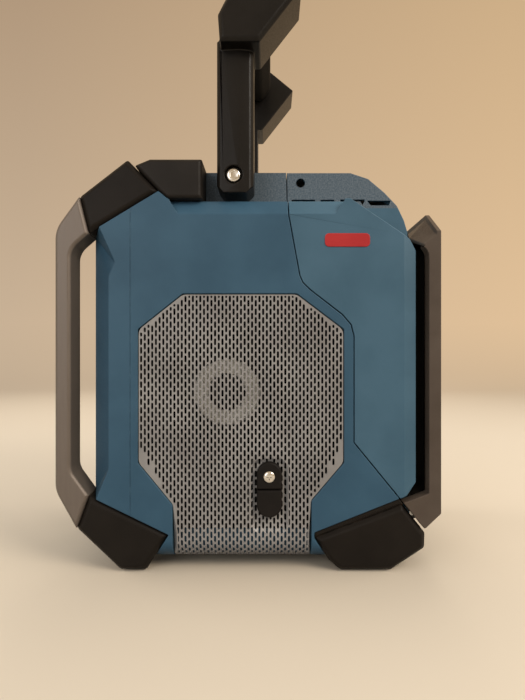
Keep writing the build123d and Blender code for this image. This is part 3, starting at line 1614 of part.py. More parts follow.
with BuildPart() as housing_screws:
    with BuildSketch(Plane.XY.offset(housing_bottom)):
        with GridLocations(screw_spacing_x, screw_spacing_y, 2, 2):
            RegularPolygon(screw_head_radius, 6)
    extrude(amount=-screw_head_height)
    with BuildSketch(Plane.XY.offset(housing_bottom)):
        with GridLocations(screw_spacing_x, screw_spacing_y, 2, 2):
            RegularPolygon(screw_radius, pin_flats)
    extrude(amount=screw_length)
housing_screws.part.label = "housing_screws"
export_step(housing_screws.part, "parts/housing_screws.step")
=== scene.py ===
"""Looks of a jobsite radio: materials, softened edges, fine perforated grilles and small fittings.

The control side faces -Y, the battery door +Y, the grilles +X and -X, +Z is up. Named sizes of the
radio's pieces are in mm and become metres in the meshes. Camera, lamps and floor are in metres.
"""

import json
import math
from contextlib import contextmanager

import bmesh
import bpy
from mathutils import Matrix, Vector, geometry


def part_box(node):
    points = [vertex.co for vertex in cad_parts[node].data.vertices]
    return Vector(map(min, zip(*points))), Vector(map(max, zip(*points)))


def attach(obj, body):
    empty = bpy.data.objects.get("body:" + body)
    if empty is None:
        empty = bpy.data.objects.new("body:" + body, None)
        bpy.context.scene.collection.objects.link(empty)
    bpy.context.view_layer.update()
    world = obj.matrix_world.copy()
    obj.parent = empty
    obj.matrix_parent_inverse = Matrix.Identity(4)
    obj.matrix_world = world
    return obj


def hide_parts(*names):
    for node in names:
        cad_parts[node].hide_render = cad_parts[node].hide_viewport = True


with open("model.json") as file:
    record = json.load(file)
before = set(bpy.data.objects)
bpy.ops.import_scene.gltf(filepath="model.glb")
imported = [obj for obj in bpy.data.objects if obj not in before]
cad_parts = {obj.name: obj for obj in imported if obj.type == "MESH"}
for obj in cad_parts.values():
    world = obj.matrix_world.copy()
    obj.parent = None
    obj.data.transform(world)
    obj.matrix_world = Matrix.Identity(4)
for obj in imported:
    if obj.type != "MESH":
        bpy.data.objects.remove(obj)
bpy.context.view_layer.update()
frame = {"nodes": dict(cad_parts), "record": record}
nodes = frame["nodes"]
record = frame["record"]

MM = 0.001
body_of_node = {node: body for body, members in record["behaviour"]["bodies"].items() for node in members}
slot_of_node = {part["node"]: part["material_slot"] for part in record["subparts"]}

# the side faces, and the walls of the recess that holds the folded handle above its ledge
SIDE_X = 82.0
RECESS_WALL_X = 54.0
RECESS_LEDGE_Z = 266.0


# ---------------------------------------------------------------- node trees
def screen_colour(red, green, blue):
    """Linear colour from the 0 to 255 values that a screen shows."""
    def linear(value):
        value /= 255
        return value / 12.92 if value <= 0.04045 else ((value + 0.055) / 1.055) ** 2.4

    return (linear(red), linear(green), linear(blue), 1.0)


class NodeTree:
    """Short ways to add and link the nodes of a world or a material."""

    def __init__(self, tree):
        self.tree = tree

    def add(self, kind):
        """New node of a kind, named without its leading ShaderNode."""
        return self.tree.nodes.new("ShaderNode" + kind)

    def link(self, output, target):
        self.tree.links.new(output, target)

    def chain(self, operation, values):
        """One number from several, two at a time."""
        result = values[0]
        for value in values[1:]:
            node = self.add("Math")
            node.operation = operation
            self.link(result, node.inputs[0])
            self.link(value, node.inputs[1])
            result = node.outputs[0]
        return result

    def both(self, *masks):
        """1 where all the masks are 1."""
        return self.chain("MULTIPLY", masks)

    def either(self, *masks):
        """1 where any of the masks is 1."""
        return self.chain("MAXIMUM", masks)

    def shown(self):
        """1 for rays that show a surface: straight to the camera, mirrored or through glass."""
        rays = self.add("LightPath").outputs
        return self.either(rays["Is Camera Ray"], rays["Is Glossy Ray"], rays["Is Transmission Ray"])

    def mix_shaders(self, amount, first, second, target):
        """Feeds the target with the first shader where the amount is 0, and the second where it is 1."""
        mix = self.add("MixShader")
        self.link(amount, mix.inputs["Fac"])
        self.link(first, mix.inputs[1])
        self.link(second, mix.inputs[2])
        self.link(mix.outputs[0], target)


class Surface(NodeTree):
    """A Principled material whose colour, roughness and bump come from procedural nodes."""

    def __init__(self, name):
        self.material = bpy.data.materials.new(name)
        self.material.use_nodes = True
        super().__init__(self.material.node_tree)
        self.shader = self.tree.nodes["Principled BSDF"]
        self.place = self.add("TexCoord").outputs["Object"]

    def noise(self, size_mm, detail=2.0, stretch=None):
        """Noise from 0 to 1 whose lumps are about size_mm across."""
        node = self.add("TexNoise")
        node.inputs["Scale"].default_value = 1 / (size_mm * MM)
        node.inputs["Detail"].default_value = detail
        place = self.place
        if stretch:
            mapping = self.add("Mapping")
            mapping.inputs["Scale"].default_value = stretch
            self.link(place, mapping.inputs["Vector"])
            place = mapping.outputs["Vector"]
        self.link(place, node.inputs["Vector"])
        return node.outputs["Fac"]

    def remap(self, value, low_in, high_in, low_out=0.0, high_out=1.0):
        """Stretches a range of numbers onto another, and clips what lies outside."""
        node = self.add("MapRange")
        for socket, number in zip(("From Min", "From Max", "To Min", "To Max"),
                                  (low_in, high_in, low_out, high_out)):
            node.inputs[socket].default_value = number
        self.link(value, node.inputs["Value"])
        return node.outputs["Result"]

    def blend(self, amount, first, second):
        """Mixes two colours, each a colour or an output."""
        node = self.add("Mix")
        node.data_type = "RGBA"
        self.link(amount, node.inputs["Factor"])
        for socket, value in (("A", first), ("B", second)):
            target = [i for i in node.inputs if i.name == socket and i.type == "RGBA"][0]
            if isinstance(value, tuple):
                target.default_value = value
            else:
                self.link(value, target)
        return [o for o in node.outputs if o.type == "RGBA"][0]

    def past(self, axis, start_mm, end_mm):
        """0 before start_mm along an axis of the radio, 1 after end_mm."""
        split = self.add("SeparateXYZ")
        self.link(self.place, split.inputs[0])
        return self.remap(split.outputs[axis], start_mm * MM, end_mm * MM)

    def paint(self, mask, colour):
        """Covers the base colour with another where the mask is 1."""
        base = self.shader.inputs["Base Color"]
        self.link(self.blend(mask, base.links[0].from_socket, colour), base)

    def edges(self, radius_mm):
        """1 along edges, 0 on flat faces: how far a rounded normal turns from the real one."""
        bevel = self.add("Bevel")
        bevel.inputs["Radius"].default_value = radius_mm * MM
        bevel.samples = 4
        real = self.add("NewGeometry").outputs["Normal"]
        dot = self.add("VectorMath")
        dot.operation = "DOT_PRODUCT"
        self.link(bevel.outputs["Normal"], dot.inputs[0])
        self.link(real, dot.inputs[1])
        return self.remap(dot.outputs["Value"], 1.0, 0.85)

    def bump(self, height, depth_mm, normal=None):
        """Normal that follows a height map, on top of another normal where one is given."""
        node = self.add("Bump")
        node.inputs["Distance"].default_value = depth_mm * MM
        self.link(height, node.inputs["Height"])
        if normal:
            self.link(normal, node.inputs["Normal"])
        return node.outputs["Normal"]


# ---------------------------------------------------------------- camera, floor and light, in metres
IMAGE_WIDTH = 525
IMAGE_HEIGHT = 700
FOCAL_PIXELS = 526
VANISHING_COLUMN = 270
CAMERA_PLACE = (0.455, 0.0157, 0.158)

LAMP_TARGET = (0, 0, 0.17)
LAMPS = [  # name, place, width, watts, colour, whether reflections show it
    ("key", (1.0, 1.1, 1.1), 0.9, 15, (1.0, 0.93, 0.84), True),
    ("fill", (1.4, -0.9, 0.6), 1.2, 7, (0.95, 0.97, 1.0), True),
    ("top", (-0.6, 0.2, 1.6), 1.0, 5, (1.0, 0.96, 0.9), False),
    ("rear", (-0.1, 1.7, 0.7), 1.0, 9, (1.0, 0.92, 0.82), False),
    ("front", (-0.3, -1.6, 0.8), 1.0, 8, (1.0, 0.97, 0.93), False),
    ("far", (-1.5, -0.1, 0.9), 1.2, 8, (1.0, 0.97, 0.93), False),
]

WORLD_LIGHT = (0.85, 0.86, 0.9, 1.0)
WORLD_STRENGTH = 0.6
BACKDROP = screen_colour(206, 182, 150)
FLOOR_SHOWN = screen_colour(226, 209, 184)
FLOOR_TO_LIGHT = screen_colour(50, 45, 40)

# the wall's painted light, paler to the rear and lower down: its colours at its front and rear end, and
# where one fades into the other, in mm
WALL_UPPER = (screen_colour(178, 153, 126), screen_colour(206, 175, 136))
WALL_LOWER = (screen_colour(200, 177, 150), screen_colour(224, 192, 153))
WALL_FADE_Y = (-1500, 1500)
WALL_FADE_Z = (300, 2300)
FLOOR_FADE_X = (-500, -2400)


def make_camera():
    """Level camera that looks along -X at the right side."""
    data = bpy.data.cameras.new("camera")
    data.sensor_width = 36
    data.lens = FOCAL_PIXELS / IMAGE_HEIGHT * data.sensor_width
    data.shift_x = (IMAGE_WIDTH / 2 - VANISHING_COLUMN) / IMAGE_HEIGHT
    data.clip_start = 0.01
    camera = bpy.data.objects.new("camera", data)
    camera.location = CAMERA_PLACE
    camera.rotation_euler = (math.radians(90), 0, math.radians(90))
    bpy.context.scene.collection.objects.link(camera)
    bpy.context.scene.camera = camera


def make_lamp(name, place, width, power, colour, mirrored):
    """Soft round lamp that shines at the middle of the radio."""
    data = bpy.data.lights.new(name, "AREA")
    data.shape = "DISK"
    data.size = width
    data.energy = power
    data.color = colour
    lamp = bpy.data.objects.new(name, data)
    lamp.location = place
    lamp.rotation_euler = (Vector(LAMP_TARGET) - Vector(place)).to_track_quat("-Z", "Y").to_euler()
    lamp.visible_glossy = mirrored
    bpy.context.scene.collection.objects.link(lamp)


def make_world():
    """Even light on the object, with the backdrop's colour where the camera or a reflection sees it."""
    world = bpy.data.worlds.new("studio")
    bpy.context.scene.world = world
    world.use_nodes = True
    world.node_tree.nodes.clear()
    t = NodeTree(world.node_tree)
    light = t.add("Background")
    light.inputs["Color"].default_value = WORLD_LIGHT
    light.inputs["Strength"].default_value = WORLD_STRENGTH
    backdrop = t.add("Background")
    backdrop.inputs["Color"].default_value = BACKDROP
    backdrop.inputs["Strength"].default_value = 1.0
    t.mix_shaders(t.shown(), light.outputs[0], backdrop.outputs[0], t.add("OutputWorld").inputs["Surface"])


def make_floor():
    """Pale floor that sweeps up into a backdrop behind the radio."""
    half_width = 4.0
    near_edge = 3.0
    bend_start = -1.6
    bend_radius = 1.2
    wall_top = 4.0
    steps = 24
    profile = [(near_edge, 0.0), (bend_start, 0.0)]
    for step in range(1, steps + 1):
        angle = math.pi / 2 * step / steps
        profile.append((bend_start - bend_radius * math.sin(angle), bend_radius * (1 - math.cos(angle))))
    profile.append((bend_start - bend_radius, wall_top))
    mesh = bpy.data.meshes.new("floor")
    verts = [(x, side * half_width, z) for x, z in profile for side in (-1, 1)]
    faces = [(2 * i, 2 * i + 1, 2 * i + 3, 2 * i + 2) for i in range(len(profile) - 1)]
    mesh.from_pydata(verts, [], faces)
    smooth(mesh)
    mesh.materials.append(floor_material())
    floor = bpy.data.objects.new("floor", mesh)
    bpy.context.scene.collection.objects.link(floor)


def floor_material():
    """Pale to the camera, dark to light that bounces, and a wall far behind shown unlit, with painted light
    that grows paler to the rear and lower down.
    """
    s = Surface("floor")
    shown = s.shown()
    s.link(s.blend(shown, FLOOR_TO_LIGHT, FLOOR_SHOWN), s.shader.inputs["Base Color"])
    s.shader.inputs["Roughness"].default_value = 0.9
    s.shader.inputs["Specular IOR Level"].default_value = 0.1
    rearward = s.past("Y", *WALL_FADE_Y)
    lower = s.blend(rearward, *WALL_LOWER)
    upper = s.blend(rearward, *WALL_UPPER)
    # the wall's painted light: its colours fade from front to rear and from low to high
    wall = s.add("Emission")
    s.link(s.blend(s.past("Z", *WALL_FADE_Z), lower, upper), wall.inputs["Color"])
    wall.inputs["Strength"].default_value = 1.0
    s.mix_shaders(s.both(shown, s.past("X", *FLOOR_FADE_X)), s.shader.outputs[0], wall.outputs[0],
                  s.tree.nodes["Material Output"].inputs["Surface"])
    return s.material


# ---------------------------------------------------------------- materials
BLOTCH_SIZE = 38
DENT_SIZE = 9
DENT_DEPTH = 0.05
WORN_EDGE = 0.7
WORN_PATCH = 6
STREAK_SIZE = 2.5


def moulded(name, dark, light, roughness, grain_mm=0.9, grain_depth=0.05, worn=None, spread=0.08,
            gloss=0.25):
    """Moulded plastic or rubber: blotchy colour, fine grain, polished and paler along the edges."""
    s = Surface(name)
    blotches = s.remap(s.noise(BLOTCH_SIZE, detail=4), 0.35, 0.65)
    colour = s.blend(blotches, screen_colour(*dark), screen_colour(*light))
    if worn:
        patches = s.remap(s.noise(WORN_PATCH, detail=4), 0.45, 0.75, 0.0, 0.8)
        colour = s.blend(s.both(s.edges(WORN_EDGE), patches), colour, screen_colour(*worn))
    s.link(colour, s.shader.inputs["Base Color"])
    s.shader.inputs["Specular IOR Level"].default_value = gloss
    grain = s.noise(grain_mm, detail=3)
    s.link(s.remap(grain, 0.3, 0.7, roughness - spread, roughness + spread), s.shader.inputs["Roughness"])
    dents = s.bump(s.noise(DENT_SIZE), DENT_DEPTH)
    s.link(s.bump(grain, grain_depth, dents), s.shader.inputs["Normal"])
    return s


def metal(name, dark, light, roughness, brush=None, depth=0.01, spread=0.06, metallic=1.0):
    """Bare or plated metal with faint brushing or cloudiness."""
    s = Surface(name)
    streaks = s.noise(STREAK_SIZE, detail=3, stretch=brush)
    s.link(s.blend(streaks, screen_colour(*dark), screen_colour(*light)), s.shader.inputs["Base Color"])
    s.link(s.remap(streaks, 0.3, 0.7, roughness - spread, roughness + spread), s.shader.inputs["Roughness"])
    s.shader.inputs["Metallic"].default_value = metallic
    s.link(s.bump(streaks, depth), s.shader.inputs["Normal"])
    return s


# by slot of the record; colours as a screen shows them, then roughness
MOULDED = {
    "teal_moulding": dict(dark=(58, 89, 107), light=(66, 98, 116), roughness=0.46, worn=(102, 136, 152)),
    # painted light: the door is the side shells' teal plastic, written paler because the door stands more
    # brightly lit
    "door_moulding": dict(dark=(70, 102, 118), light=(79, 111, 127), roughness=0.38, grain_mm=1.1,
                          grain_depth=0.03, worn=(108, 140, 154), gloss=0.3),
    "dark_moulding": dict(dark=(16, 16, 17), light=(22, 21, 21), roughness=0.6, gloss=0.1),
    "seal_rubber": dict(dark=(12, 12, 12), light=(17, 17, 17), roughness=0.75, gloss=0.1),
    # the rear guard's colour is partly its own warm brown-grey and partly painted reflection: written paler
    # than its dark plastic, for the warm light it reflects
    "guard_plastic": dict(dark=(90, 77, 65), light=(103, 89, 76), roughness=0.42, grain_mm=1.4,
                          grain_depth=0.012, worn=(116, 102, 88), gloss=0.15),
    "latch_plastic": dict(dark=(18, 18, 19), light=(25, 24, 24), roughness=0.45, worn=(60, 58, 56),
                          gloss=0.15),
    "grille_paint": dict(dark=(152, 145, 137), light=(172, 165, 156), roughness=0.34, grain_mm=0.5,
                         grain_depth=0.02, spread=0.05, gloss=0.5),
    "basket_paint": dict(dark=(14, 14, 14), light=(20, 20, 20), roughness=0.4, gloss=0.15),
    "magnet_ferrite": dict(dark=(34, 34, 36), light=(48, 48, 50), roughness=0.55),
    "cone_paper": dict(dark=(14, 13, 13), light=(20, 19, 18), roughness=0.85, grain_mm=0.7,
                       grain_depth=0.08, gloss=0.1),
    "ring_plastic": dict(dark=(240, 230, 210), light=(250, 243, 228), roughness=0.4, gloss=0.5),
    "cap_rubber": dict(dark=(22, 19, 17), light=(30, 26, 23), roughness=0.5, grain_mm=0.6,
                       worn=(70, 60, 50), gloss=0.15),
    "bumper_rubber": dict(dark=(25, 21, 17), light=(33, 28, 23), roughness=0.48, grain_mm=1.0,
                          grain_depth=0.04, worn=(86, 72, 58), gloss=0.14),
    "hood_plastic": dict(dark=(34, 30, 26), light=(44, 39, 34), roughness=0.46, grain_mm=1.0,
                         grain_depth=0.03, worn=(86, 76, 64), gloss=0.16),
    "foot_rubber": dict(dark=(18, 18, 18), light=(24, 23, 22), roughness=0.8, grain_mm=0.8,
                        grain_depth=0.1, gloss=0.1),
    "panel_plastic": dict(dark=(26, 27, 28), light=(34, 34, 35), roughness=0.5, worn=(70, 70, 70),
                          gloss=0.15),
    "display_glass": dict(dark=(12, 16, 18), light=(16, 20, 22), roughness=0.12, grain_mm=3.0,
                          grain_depth=0.004, spread=0.03, gloss=0.5),
    "display_plastic": dict(dark=(22, 22, 22), light=(29, 29, 29), roughness=0.55, gloss=0.15),
    "board_laminate": dict(dark=(18, 74, 44), light=(26, 92, 56), roughness=0.4, grain_mm=1.5,
                           grain_depth=0.03),
    "button_plastic": dict(dark=(92, 92, 94), light=(108, 108, 110), roughness=0.5, worn=(150, 150, 150)),
    "button_accent": dict(dark=(150, 36, 24), light=(176, 46, 32), roughness=0.45, worn=(206, 96, 80)),
    "dial_plastic": dict(dark=(24, 24, 25), light=(33, 32, 32), roughness=0.45, worn=(80, 78, 76),
                         gloss=0.2),
    "handle_plastic": dict(dark=(22, 19, 16), light=(30, 26, 22), roughness=0.36, grain_mm=1.0,
                           grain_depth=0.02, worn=(100, 88, 74), gloss=0.2),
    "grip_rubber": dict(dark=(20, 18, 16), light=(27, 24, 21), roughness=0.7, grain_mm=0.8,
                        grain_depth=0.08, worn=(58, 54, 50), gloss=0.1),
}
METALS = {
    "contact_metal": dict(dark=(196, 176, 120), light=(222, 205, 150), roughness=0.25),
    "steel_pin": dict(dark=(150, 150, 150), light=(190, 190, 190), roughness=0.3),
    "screw_steel": dict(dark=(196, 194, 190), light=(232, 230, 226), roughness=0.2, depth=0.02),
    "bar_aluminium": dict(dark=(112, 99, 87), light=(124, 111, 98), roughness=0.42,
                          brush=(1.0, 1.0, 0.12), depth=0.006, spread=0.04, metallic=0.2),
    "antenna_chrome": dict(dark=(206, 206, 208), light=(232, 232, 234), roughness=0.14),
}
BADGE_LOOK = dict(dark=(186, 44, 44), light=(202, 54, 52), roughness=0.35, grain_mm=0.8, grain_depth=0.01)

# paint on parts of a slot's pieces
PAINT_EDGE = 0.2
RECESS_WALL_MARGIN = 0.5
SPECKLE_SIZE = 1.2
# colours of the painted reflection on the recess walls
SHEEN_SPECKLE_COLOURS = (screen_colour(78, 93, 102), screen_colour(108, 118, 124))
DOOR_SHADE_Y = 120.3
DOOR_SHADE = screen_colour(12, 12, 13)
LCD_HALF_WIDTH = 33.0
LCD_Z = (202.0, 238.0)
LCD_COLOUR = screen_colour(96, 108, 98)


def paint_recess_sheen(s):
    """Painted reflection on the recess walls beside the handle: coarser, greyer speckles stand in for the
    white light their coarse grain reflects.
    """
    outer = RECESS_WALL_X + RECESS_WALL_MARGIN
    inner = RECESS_WALL_X - RECESS_WALL_MARGIN
    fade = PAINT_EDGE / 2
    wall = s.both(s.past("X", -outer - fade, -outer), s.past("X", outer + fade, outer),
                  s.past("Z", RECESS_LEDGE_Z, RECESS_LEDGE_Z + PAINT_EDGE),
                  s.either(s.past("X", fade - inner, -inner - fade),
                           s.past("X", inner - fade, inner + fade)))
    # painted reflection: pale grey speckles laid over the walls' teal
    s.paint(wall, s.blend(s.remap(s.noise(SPECKLE_SIZE, detail=3), 0.35, 0.65), *SHEEN_SPECKLE_COLOURS))


def light_up_display(s):
    """Grey-green liquid crystal field behind the display's glass."""
    low, high = LCD_Z
    lcd = s.both(s.past("X", -LCD_HALF_WIDTH, PAINT_EDGE - LCD_HALF_WIDTH),
                 s.past("X", LCD_HALF_WIDTH, LCD_HALF_WIDTH - PAINT_EDGE),
                 s.past("Z", low, low + PAINT_EDGE), s.past("Z", high, high - PAINT_EDGE))
    s.paint(lcd, LCD_COLOUR)


def make_materials():
    """One material for each slot of the record."""
    made = {slot: moulded(slot, **look) for slot, look in MOULDED.items()}
    made.update({slot: metal(slot, **look) for slot, look in METALS.items()})
    # painted reflection on the recess walls of the side shells and of the door
    paint_recess_sheen(made["teal_moulding"])
    paint_recess_sheen(made["door_moulding"])
    rear_strip = made["door_moulding"].past("Y", DOOR_SHADE_Y, DOOR_SHADE_Y + PAINT_EDGE)
    made["door_moulding"].paint(rear_strip, DOOR_SHADE)
    light_up_display(made["display_glass"])
    return {slot: surface.material for slot, surface in made.items()}


# ---------------------------------------------------------------- meshes and pieces
WELD_DISTANCE = 0.002
FLAT_ANGLE = 0.6
SHADE_SHARP_ANGLE = 35


@contextmanager
def edited(mesh):
    """The mesh opened for work, and written back afterwards."""
    work = bmesh.new()
    work.from_mesh(mesh)
    yield work
    work.to_mesh(mesh)
    work.free()


def weld(work, distance_mm=WELD_DISTANCE):
    """Joins vertices that lie this close together."""
    bmesh.ops.remove_doubles(work, verts=work.verts, dist=distance_mm * MM)


def merge_flat_faces(work):
    """Dissolves the edges inside flat faces."""
    bmesh.ops.dissolve_limit(work, angle_limit=math.radians(FLAT_ANGLE), use_dissolve_boundaries=False,
                             verts=work.verts, edges=work.edges)


def turn_outward(work):
    """Makes the faces agree on what is outside."""
    bmesh.ops.recalc_face_normals(work, faces=work.faces)


def solid_mesh(name, solid):
    """Mesh of a solid given as points in mm and faces."""
    points, faces = solid
    mesh = bpy.data.meshes.new(name)
    mesh.from_pydata([[value * MM for value in point] for point in points], [], faces)
    with edited(mesh) as work:
        turn_outward(work)
    return mesh


def smooth(mesh):
    """Shades all the mesh's faces smooth."""
    mesh.polygons.foreach_set("use_smooth", [True] * len(mesh.polygons))


def link_piece(name, mesh, node):
    """New piece that rides with a CAD node and takes that node's slot and material."""
    piece = bpy.data.objects.new(name, mesh)
    bpy.context.scene.collection.objects.link(piece)
    if not mesh.materials:
        mesh.materials.append(materials[slot_of_node[node]])
    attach(piece, body_of_node[node])
    return piece


def apply_modifiers(piece):
    """Bakes a piece's modifiers into its mesh."""
    bpy.context.view_layer.update()
    shaped = piece.evaluated_get(bpy.context.evaluated_depsgraph_get())
    mesh = bpy.data.meshes.new_from_object(shaped)
    piece.modifiers.clear()
    piece.data = mesh


def flatten(piece):
    """Keeps flat faces flat in the smooth shading of a piece with rounded edges."""
    piece.data.set_sharp_from_angle(angle=math.radians(SHADE_SHARP_ANGLE))
    weighted = piece.modifiers.new("normals", "WEIGHTED_NORMAL")
    weighted.keep_sharp = True
    apply_modifiers(piece)


def combine(piece, operation, solids):
    """Boolean of a piece with solids, each given as points in mm and faces."""
    for solid in solids:
        other = bpy.data.objects.new("cutter", solid_mesh("cutter", solid))
        bpy.context.scene.collection.objects.link(other)
        boolean = piece.modifiers.new("cut", "BOOLEAN")
        boolean.operation = operation
        boolean.solver = "EXACT"
        boolean.object = other
        apply_modifiers(piece)
        bpy.data.objects.remove(other)


def cut_by(piece, *solids):
    """Takes solids out of a piece."""
    combine(piece, "DIFFERENCE", solids)


def join_to(piece, *solids):
    """Joins solids to a piece."""
    combine(piece, "UNION", solids)


def loft(*rings):
    """Solid through rings of equally many points, as points and faces."""
    points = [point for ring in rings for point in ring]
    count = len(rings[0])
    faces = [tuple(range(count)), tuple(range(len(points) - 1, len(points) - count - 1, -1))]
    for start in range(0, len(points) - count, count):
        faces += [(start + i, start + (i + 1) % count, start + count + (i + 1) % count, start + count + i)
                  for i in range(count)]
    return points, faces


def prism(outline, low_x, high_x, end_scale=1.0):
    """Solid between two x planes on a (y, z) outline, narrower at the low end by end_scale."""
    middle_y, middle_z = (sum(point[i] for point in outline) / len(outline) for i in (0, 1))
    return loft([(high_x, y, z) for y, z in outline],
                [(low_x, middle_y + (y - middle_y) * end_scale, middle_z + (z - middle_z) * end_scale)
                 for y, z in outline])


def box_outline(y, z, wide, high):
    """Rectangle round a middle."""
    return [(y - wide / 2, z - high / 2), (y + wide / 2, z - high / 2),
            (y + wide / 2, z + high / 2), (y - wide / 2, z + high / 2)]


def round_outline(y, z, radius, steps=24):
    """Circle round a middle."""
    return [(y + radius * math.cos(2 * math.pi * k / steps), z + radius * math.sin(2 * math.pi * k / steps))
            for k in range(steps)]


def rounded(points, radius, steps):
    """The polygon with a curve of about this radius at each corner."""
    out = []
    count = len(points)
    for index, point in enumerate(points):
        here = Vector(point)
        back = Vector(points[index - 1]) - here
        ahead = Vector(points[(index + 1) % count]) - here
        half = back.normalized().angle(ahead.normalized()) / 2
        reach = min(radius / math.tan(half), 0.45 * min(back.length, ahead.length))
        start = here + back.normalized() * reach
        end = here + ahead.normalized() * reach
        for step in range(steps + 1):
            t = step / steps
            out.append(tuple((1 - t) ** 2 * start + 2 * t * (1 - t) * here + t ** 2 * end))
    return out


# ---------------------------------------------------------------- softened stand-ins
PIERCED = {"front_panel"}  # keeps its triangles, because merged faces with holes don't bevel well
EDGE_SEGMENTS = 3
SOFT_ANGLE = 28
DOOR_SOFT_ANGLE = 12


def pair(name, radius):
    """The same edge radius for the right and the left piece."""
    return {f"{name}_right": radius, f"{name}_left": radius}


EDGE_RADII = {
    **pair("side_shell", 0.7),
    **pair("front_top_bumper", 1.2),
    **pair("front_bottom_bumper", 1.2),
    **pair("rear_bottom_bumper", 1.2),
    **pair("hood", 1.0),
    **pair("handle_arm", 0.9),
    "door_shell": 0.5,
    **pair("guard_bar", 0.7),
    "dc_cap_anchor": 0.4, "dc_cap": 0.4,
    "handle_grip": 2.0,
    "front_panel": 0.4, "display_window": 0.2, "port_cap": 0.3, "power_button": 0.4, "source_button": 0.4,
    "antenna_mount": 0.4,
    "door_latch": 0.4,
    "feet": 0.6,
    **{f"preset_button_{number}": 0.4 for number in range(1, 6)},
}

# the side shell's front chamfer: where it meets the side face in CAD, where it meets the front, and
# its edge on the side face in the photograph, as (y, z), where it widens into a corner facet
CAD_EDGE_TOP = (-100.0, 249.0)
CAD_EDGE_BOTTOM = (-100.0, 47.8)
CHAMFER_FRONT_X = 67.0
CHAMFER_TOP = (-113.0, 241.1)
CHAMFER_BOTTOM = (-113.0, 54.2)
CORNER_EDGE = [(-105.7, 245.5), (-94.2, 219.8), (-98.8, 209.9), (-98.8, 73.6), (-107.9, 51.7)]

# crease down the side face
CREASE_Y = -83.5
CREASE_Z = (40.4, 258.3)
CREASE_WIDTH = 0.5
CREASE_X = (81.7, 82.6)

# the door's rear chamfer and the sloping band beside its recess
DOOR_CHAMFER_Y = 111.0
DOOR_CHAMFER_FALL = 1 / 3
CHAMFER_MARGIN = 0.1
BAND_TOP = Vector((74.0, 73.0, 265.7))
BAND_LOW = Vector((82.0, 62.1, 254.7))
BAND_START_Y = 20.0
BAND_OVERSHOOT = 0.06
BAND_CUT_DEPTH = 9

# hole and drain slots in the recess walls, as (y, z)
RECESS_HOLE = (39.0, 285.3)
RECESS_HOLE_RADIUS = 3.5
RECESS_SLOTS = [
    [(32.2, 271.0), (50.1, 271.0), (50.1, 272.6), (32.2, 272.6)],
    [(54.2, 271.0), (64.9, 271.0), (64.9, 272.6), (54.2, 272.6)],
    [(69.3, 271.2), (84.5, 271.2), (86.2, 268.6), (87.9, 271.2), (87.9, 272.8), (69.3, 272.8)],
    [(89.5, 271.9), (92.5, 268.2), (106.4, 268.2), (107.8, 271.9)],
]
RECESS_CUT_X = (RECESS_WALL_X - 5.0, RECESS_WALL_X + 1.5)


def clean_copy(node):
    """The node's mesh with its seams welded and its flat faces merged, apart from a much pierced one."""
    mesh = nodes[node].data.copy()
    with edited(mesh) as work:
        weld(work)
        if node not in PIERCED:
            merge_flat_faces(work)
    mesh.materials.clear()
    return mesh


def softened(node, radius_mm):
    """Rounded-edge stand-in for a CAD node, shown in its place."""
    piece = link_piece(node + "_soft", clean_copy(node), node)
    if node in ("side_shell_right", "side_shell_left"):
        facet_front_corner(piece)
    elif node == "door_shell":
        widen_door(piece)
    soften(piece, radius_mm, DOOR_SOFT_ANGLE if node == "door_shell" else SOFT_ANGLE)
    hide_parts(node)
    return piece


def soften(piece, radius_mm, sharp_angle=SOFT_ANGLE):
    """Rounds a piece's edges."""
    bevel = piece.modifiers.new("edges", "BEVEL")
    bevel.width = radius_mm * MM
    bevel.segments = EDGE_SEGMENTS
    bevel.limit_method = "ANGLE"
    bevel.angle_limit = math.radians(sharp_angle)
    bevel.use_clamp_overlap = False
    bevel.miter_outer = "MITER_ARC"
    smooth(piece.data)
    apply_modifiers(piece)
    flatten(piece)


def vertex_at(work, x, y, z):
    """The vertex nearest to this point, in mm."""
    target = Vector((x, y, z)) * MM
    return min(work.verts, key=lambda vert: (vert.co - target).length)


def facet_front_corner(shell):
    """Moves the edge between side face and front chamfer, and folds the chamfer along it."""
    with edited(shell.data) as work:
        side = 1 if sum(vert.co.x for vert in work.verts) > 0 else -1
        top = vertex_at(work, side * SIDE_X, *CAD_EDGE_TOP)
        bottom = vertex_at(work, side * SIDE_X, *CAD_EDGE_BOTTOM)
        front_top = vertex_at(work, side * CHAMFER_FRONT_X, *CHAMFER_TOP)
        front_bottom = vertex_at(work, side * CHAMFER_FRONT_X, *CHAMFER_BOTTOM)
        edge = work.edges.get((top, bottom))
        chamfer, side_face = sorted(edge.link_faces, key=lambda face: abs(face.normal.x))
        material = side_face.material_index
        loop = list(side_face.verts)
        if loop[(loop.index(top) + 1) % len(loop)] != bottom:
            loop.reverse()
        start = loop.index(top)
        loop = loop[start:] + loop[:start]
        work.faces.remove(side_face)
        work.faces.remove(chamfer)
        work.edges.remove(edge)

        places = [Vector((side * SIDE_X, y, z)) * MM for y, z in CORNER_EDGE]
        top.co, bottom.co = places[0], places[-1]
        upper, fold, low = (work.verts.new(place) for place in places[1:-1])
        work.faces.new([top, upper, fold, low, bottom] + loop[2:])
        for corners in ((front_top, top, upper), (front_top, upper, fold),
                        (front_top, fold, low, front_bottom), (front_bottom, low, bottom)):
            work.faces.new(corners)
        for face in work.faces:
            face.material_index = material
        turn_outward(work)


def score_crease(shell, side):
    """Fine groove down the side face, behind the folded chamfer."""
    low, high = CREASE_Z
    outline = box_outline(CREASE_Y, (low + high) / 2, CREASE_WIDTH, high - low)
    cut_by(shell, prism(outline, *sorted(side * x for x in CREASE_X)))
    flatten(shell)


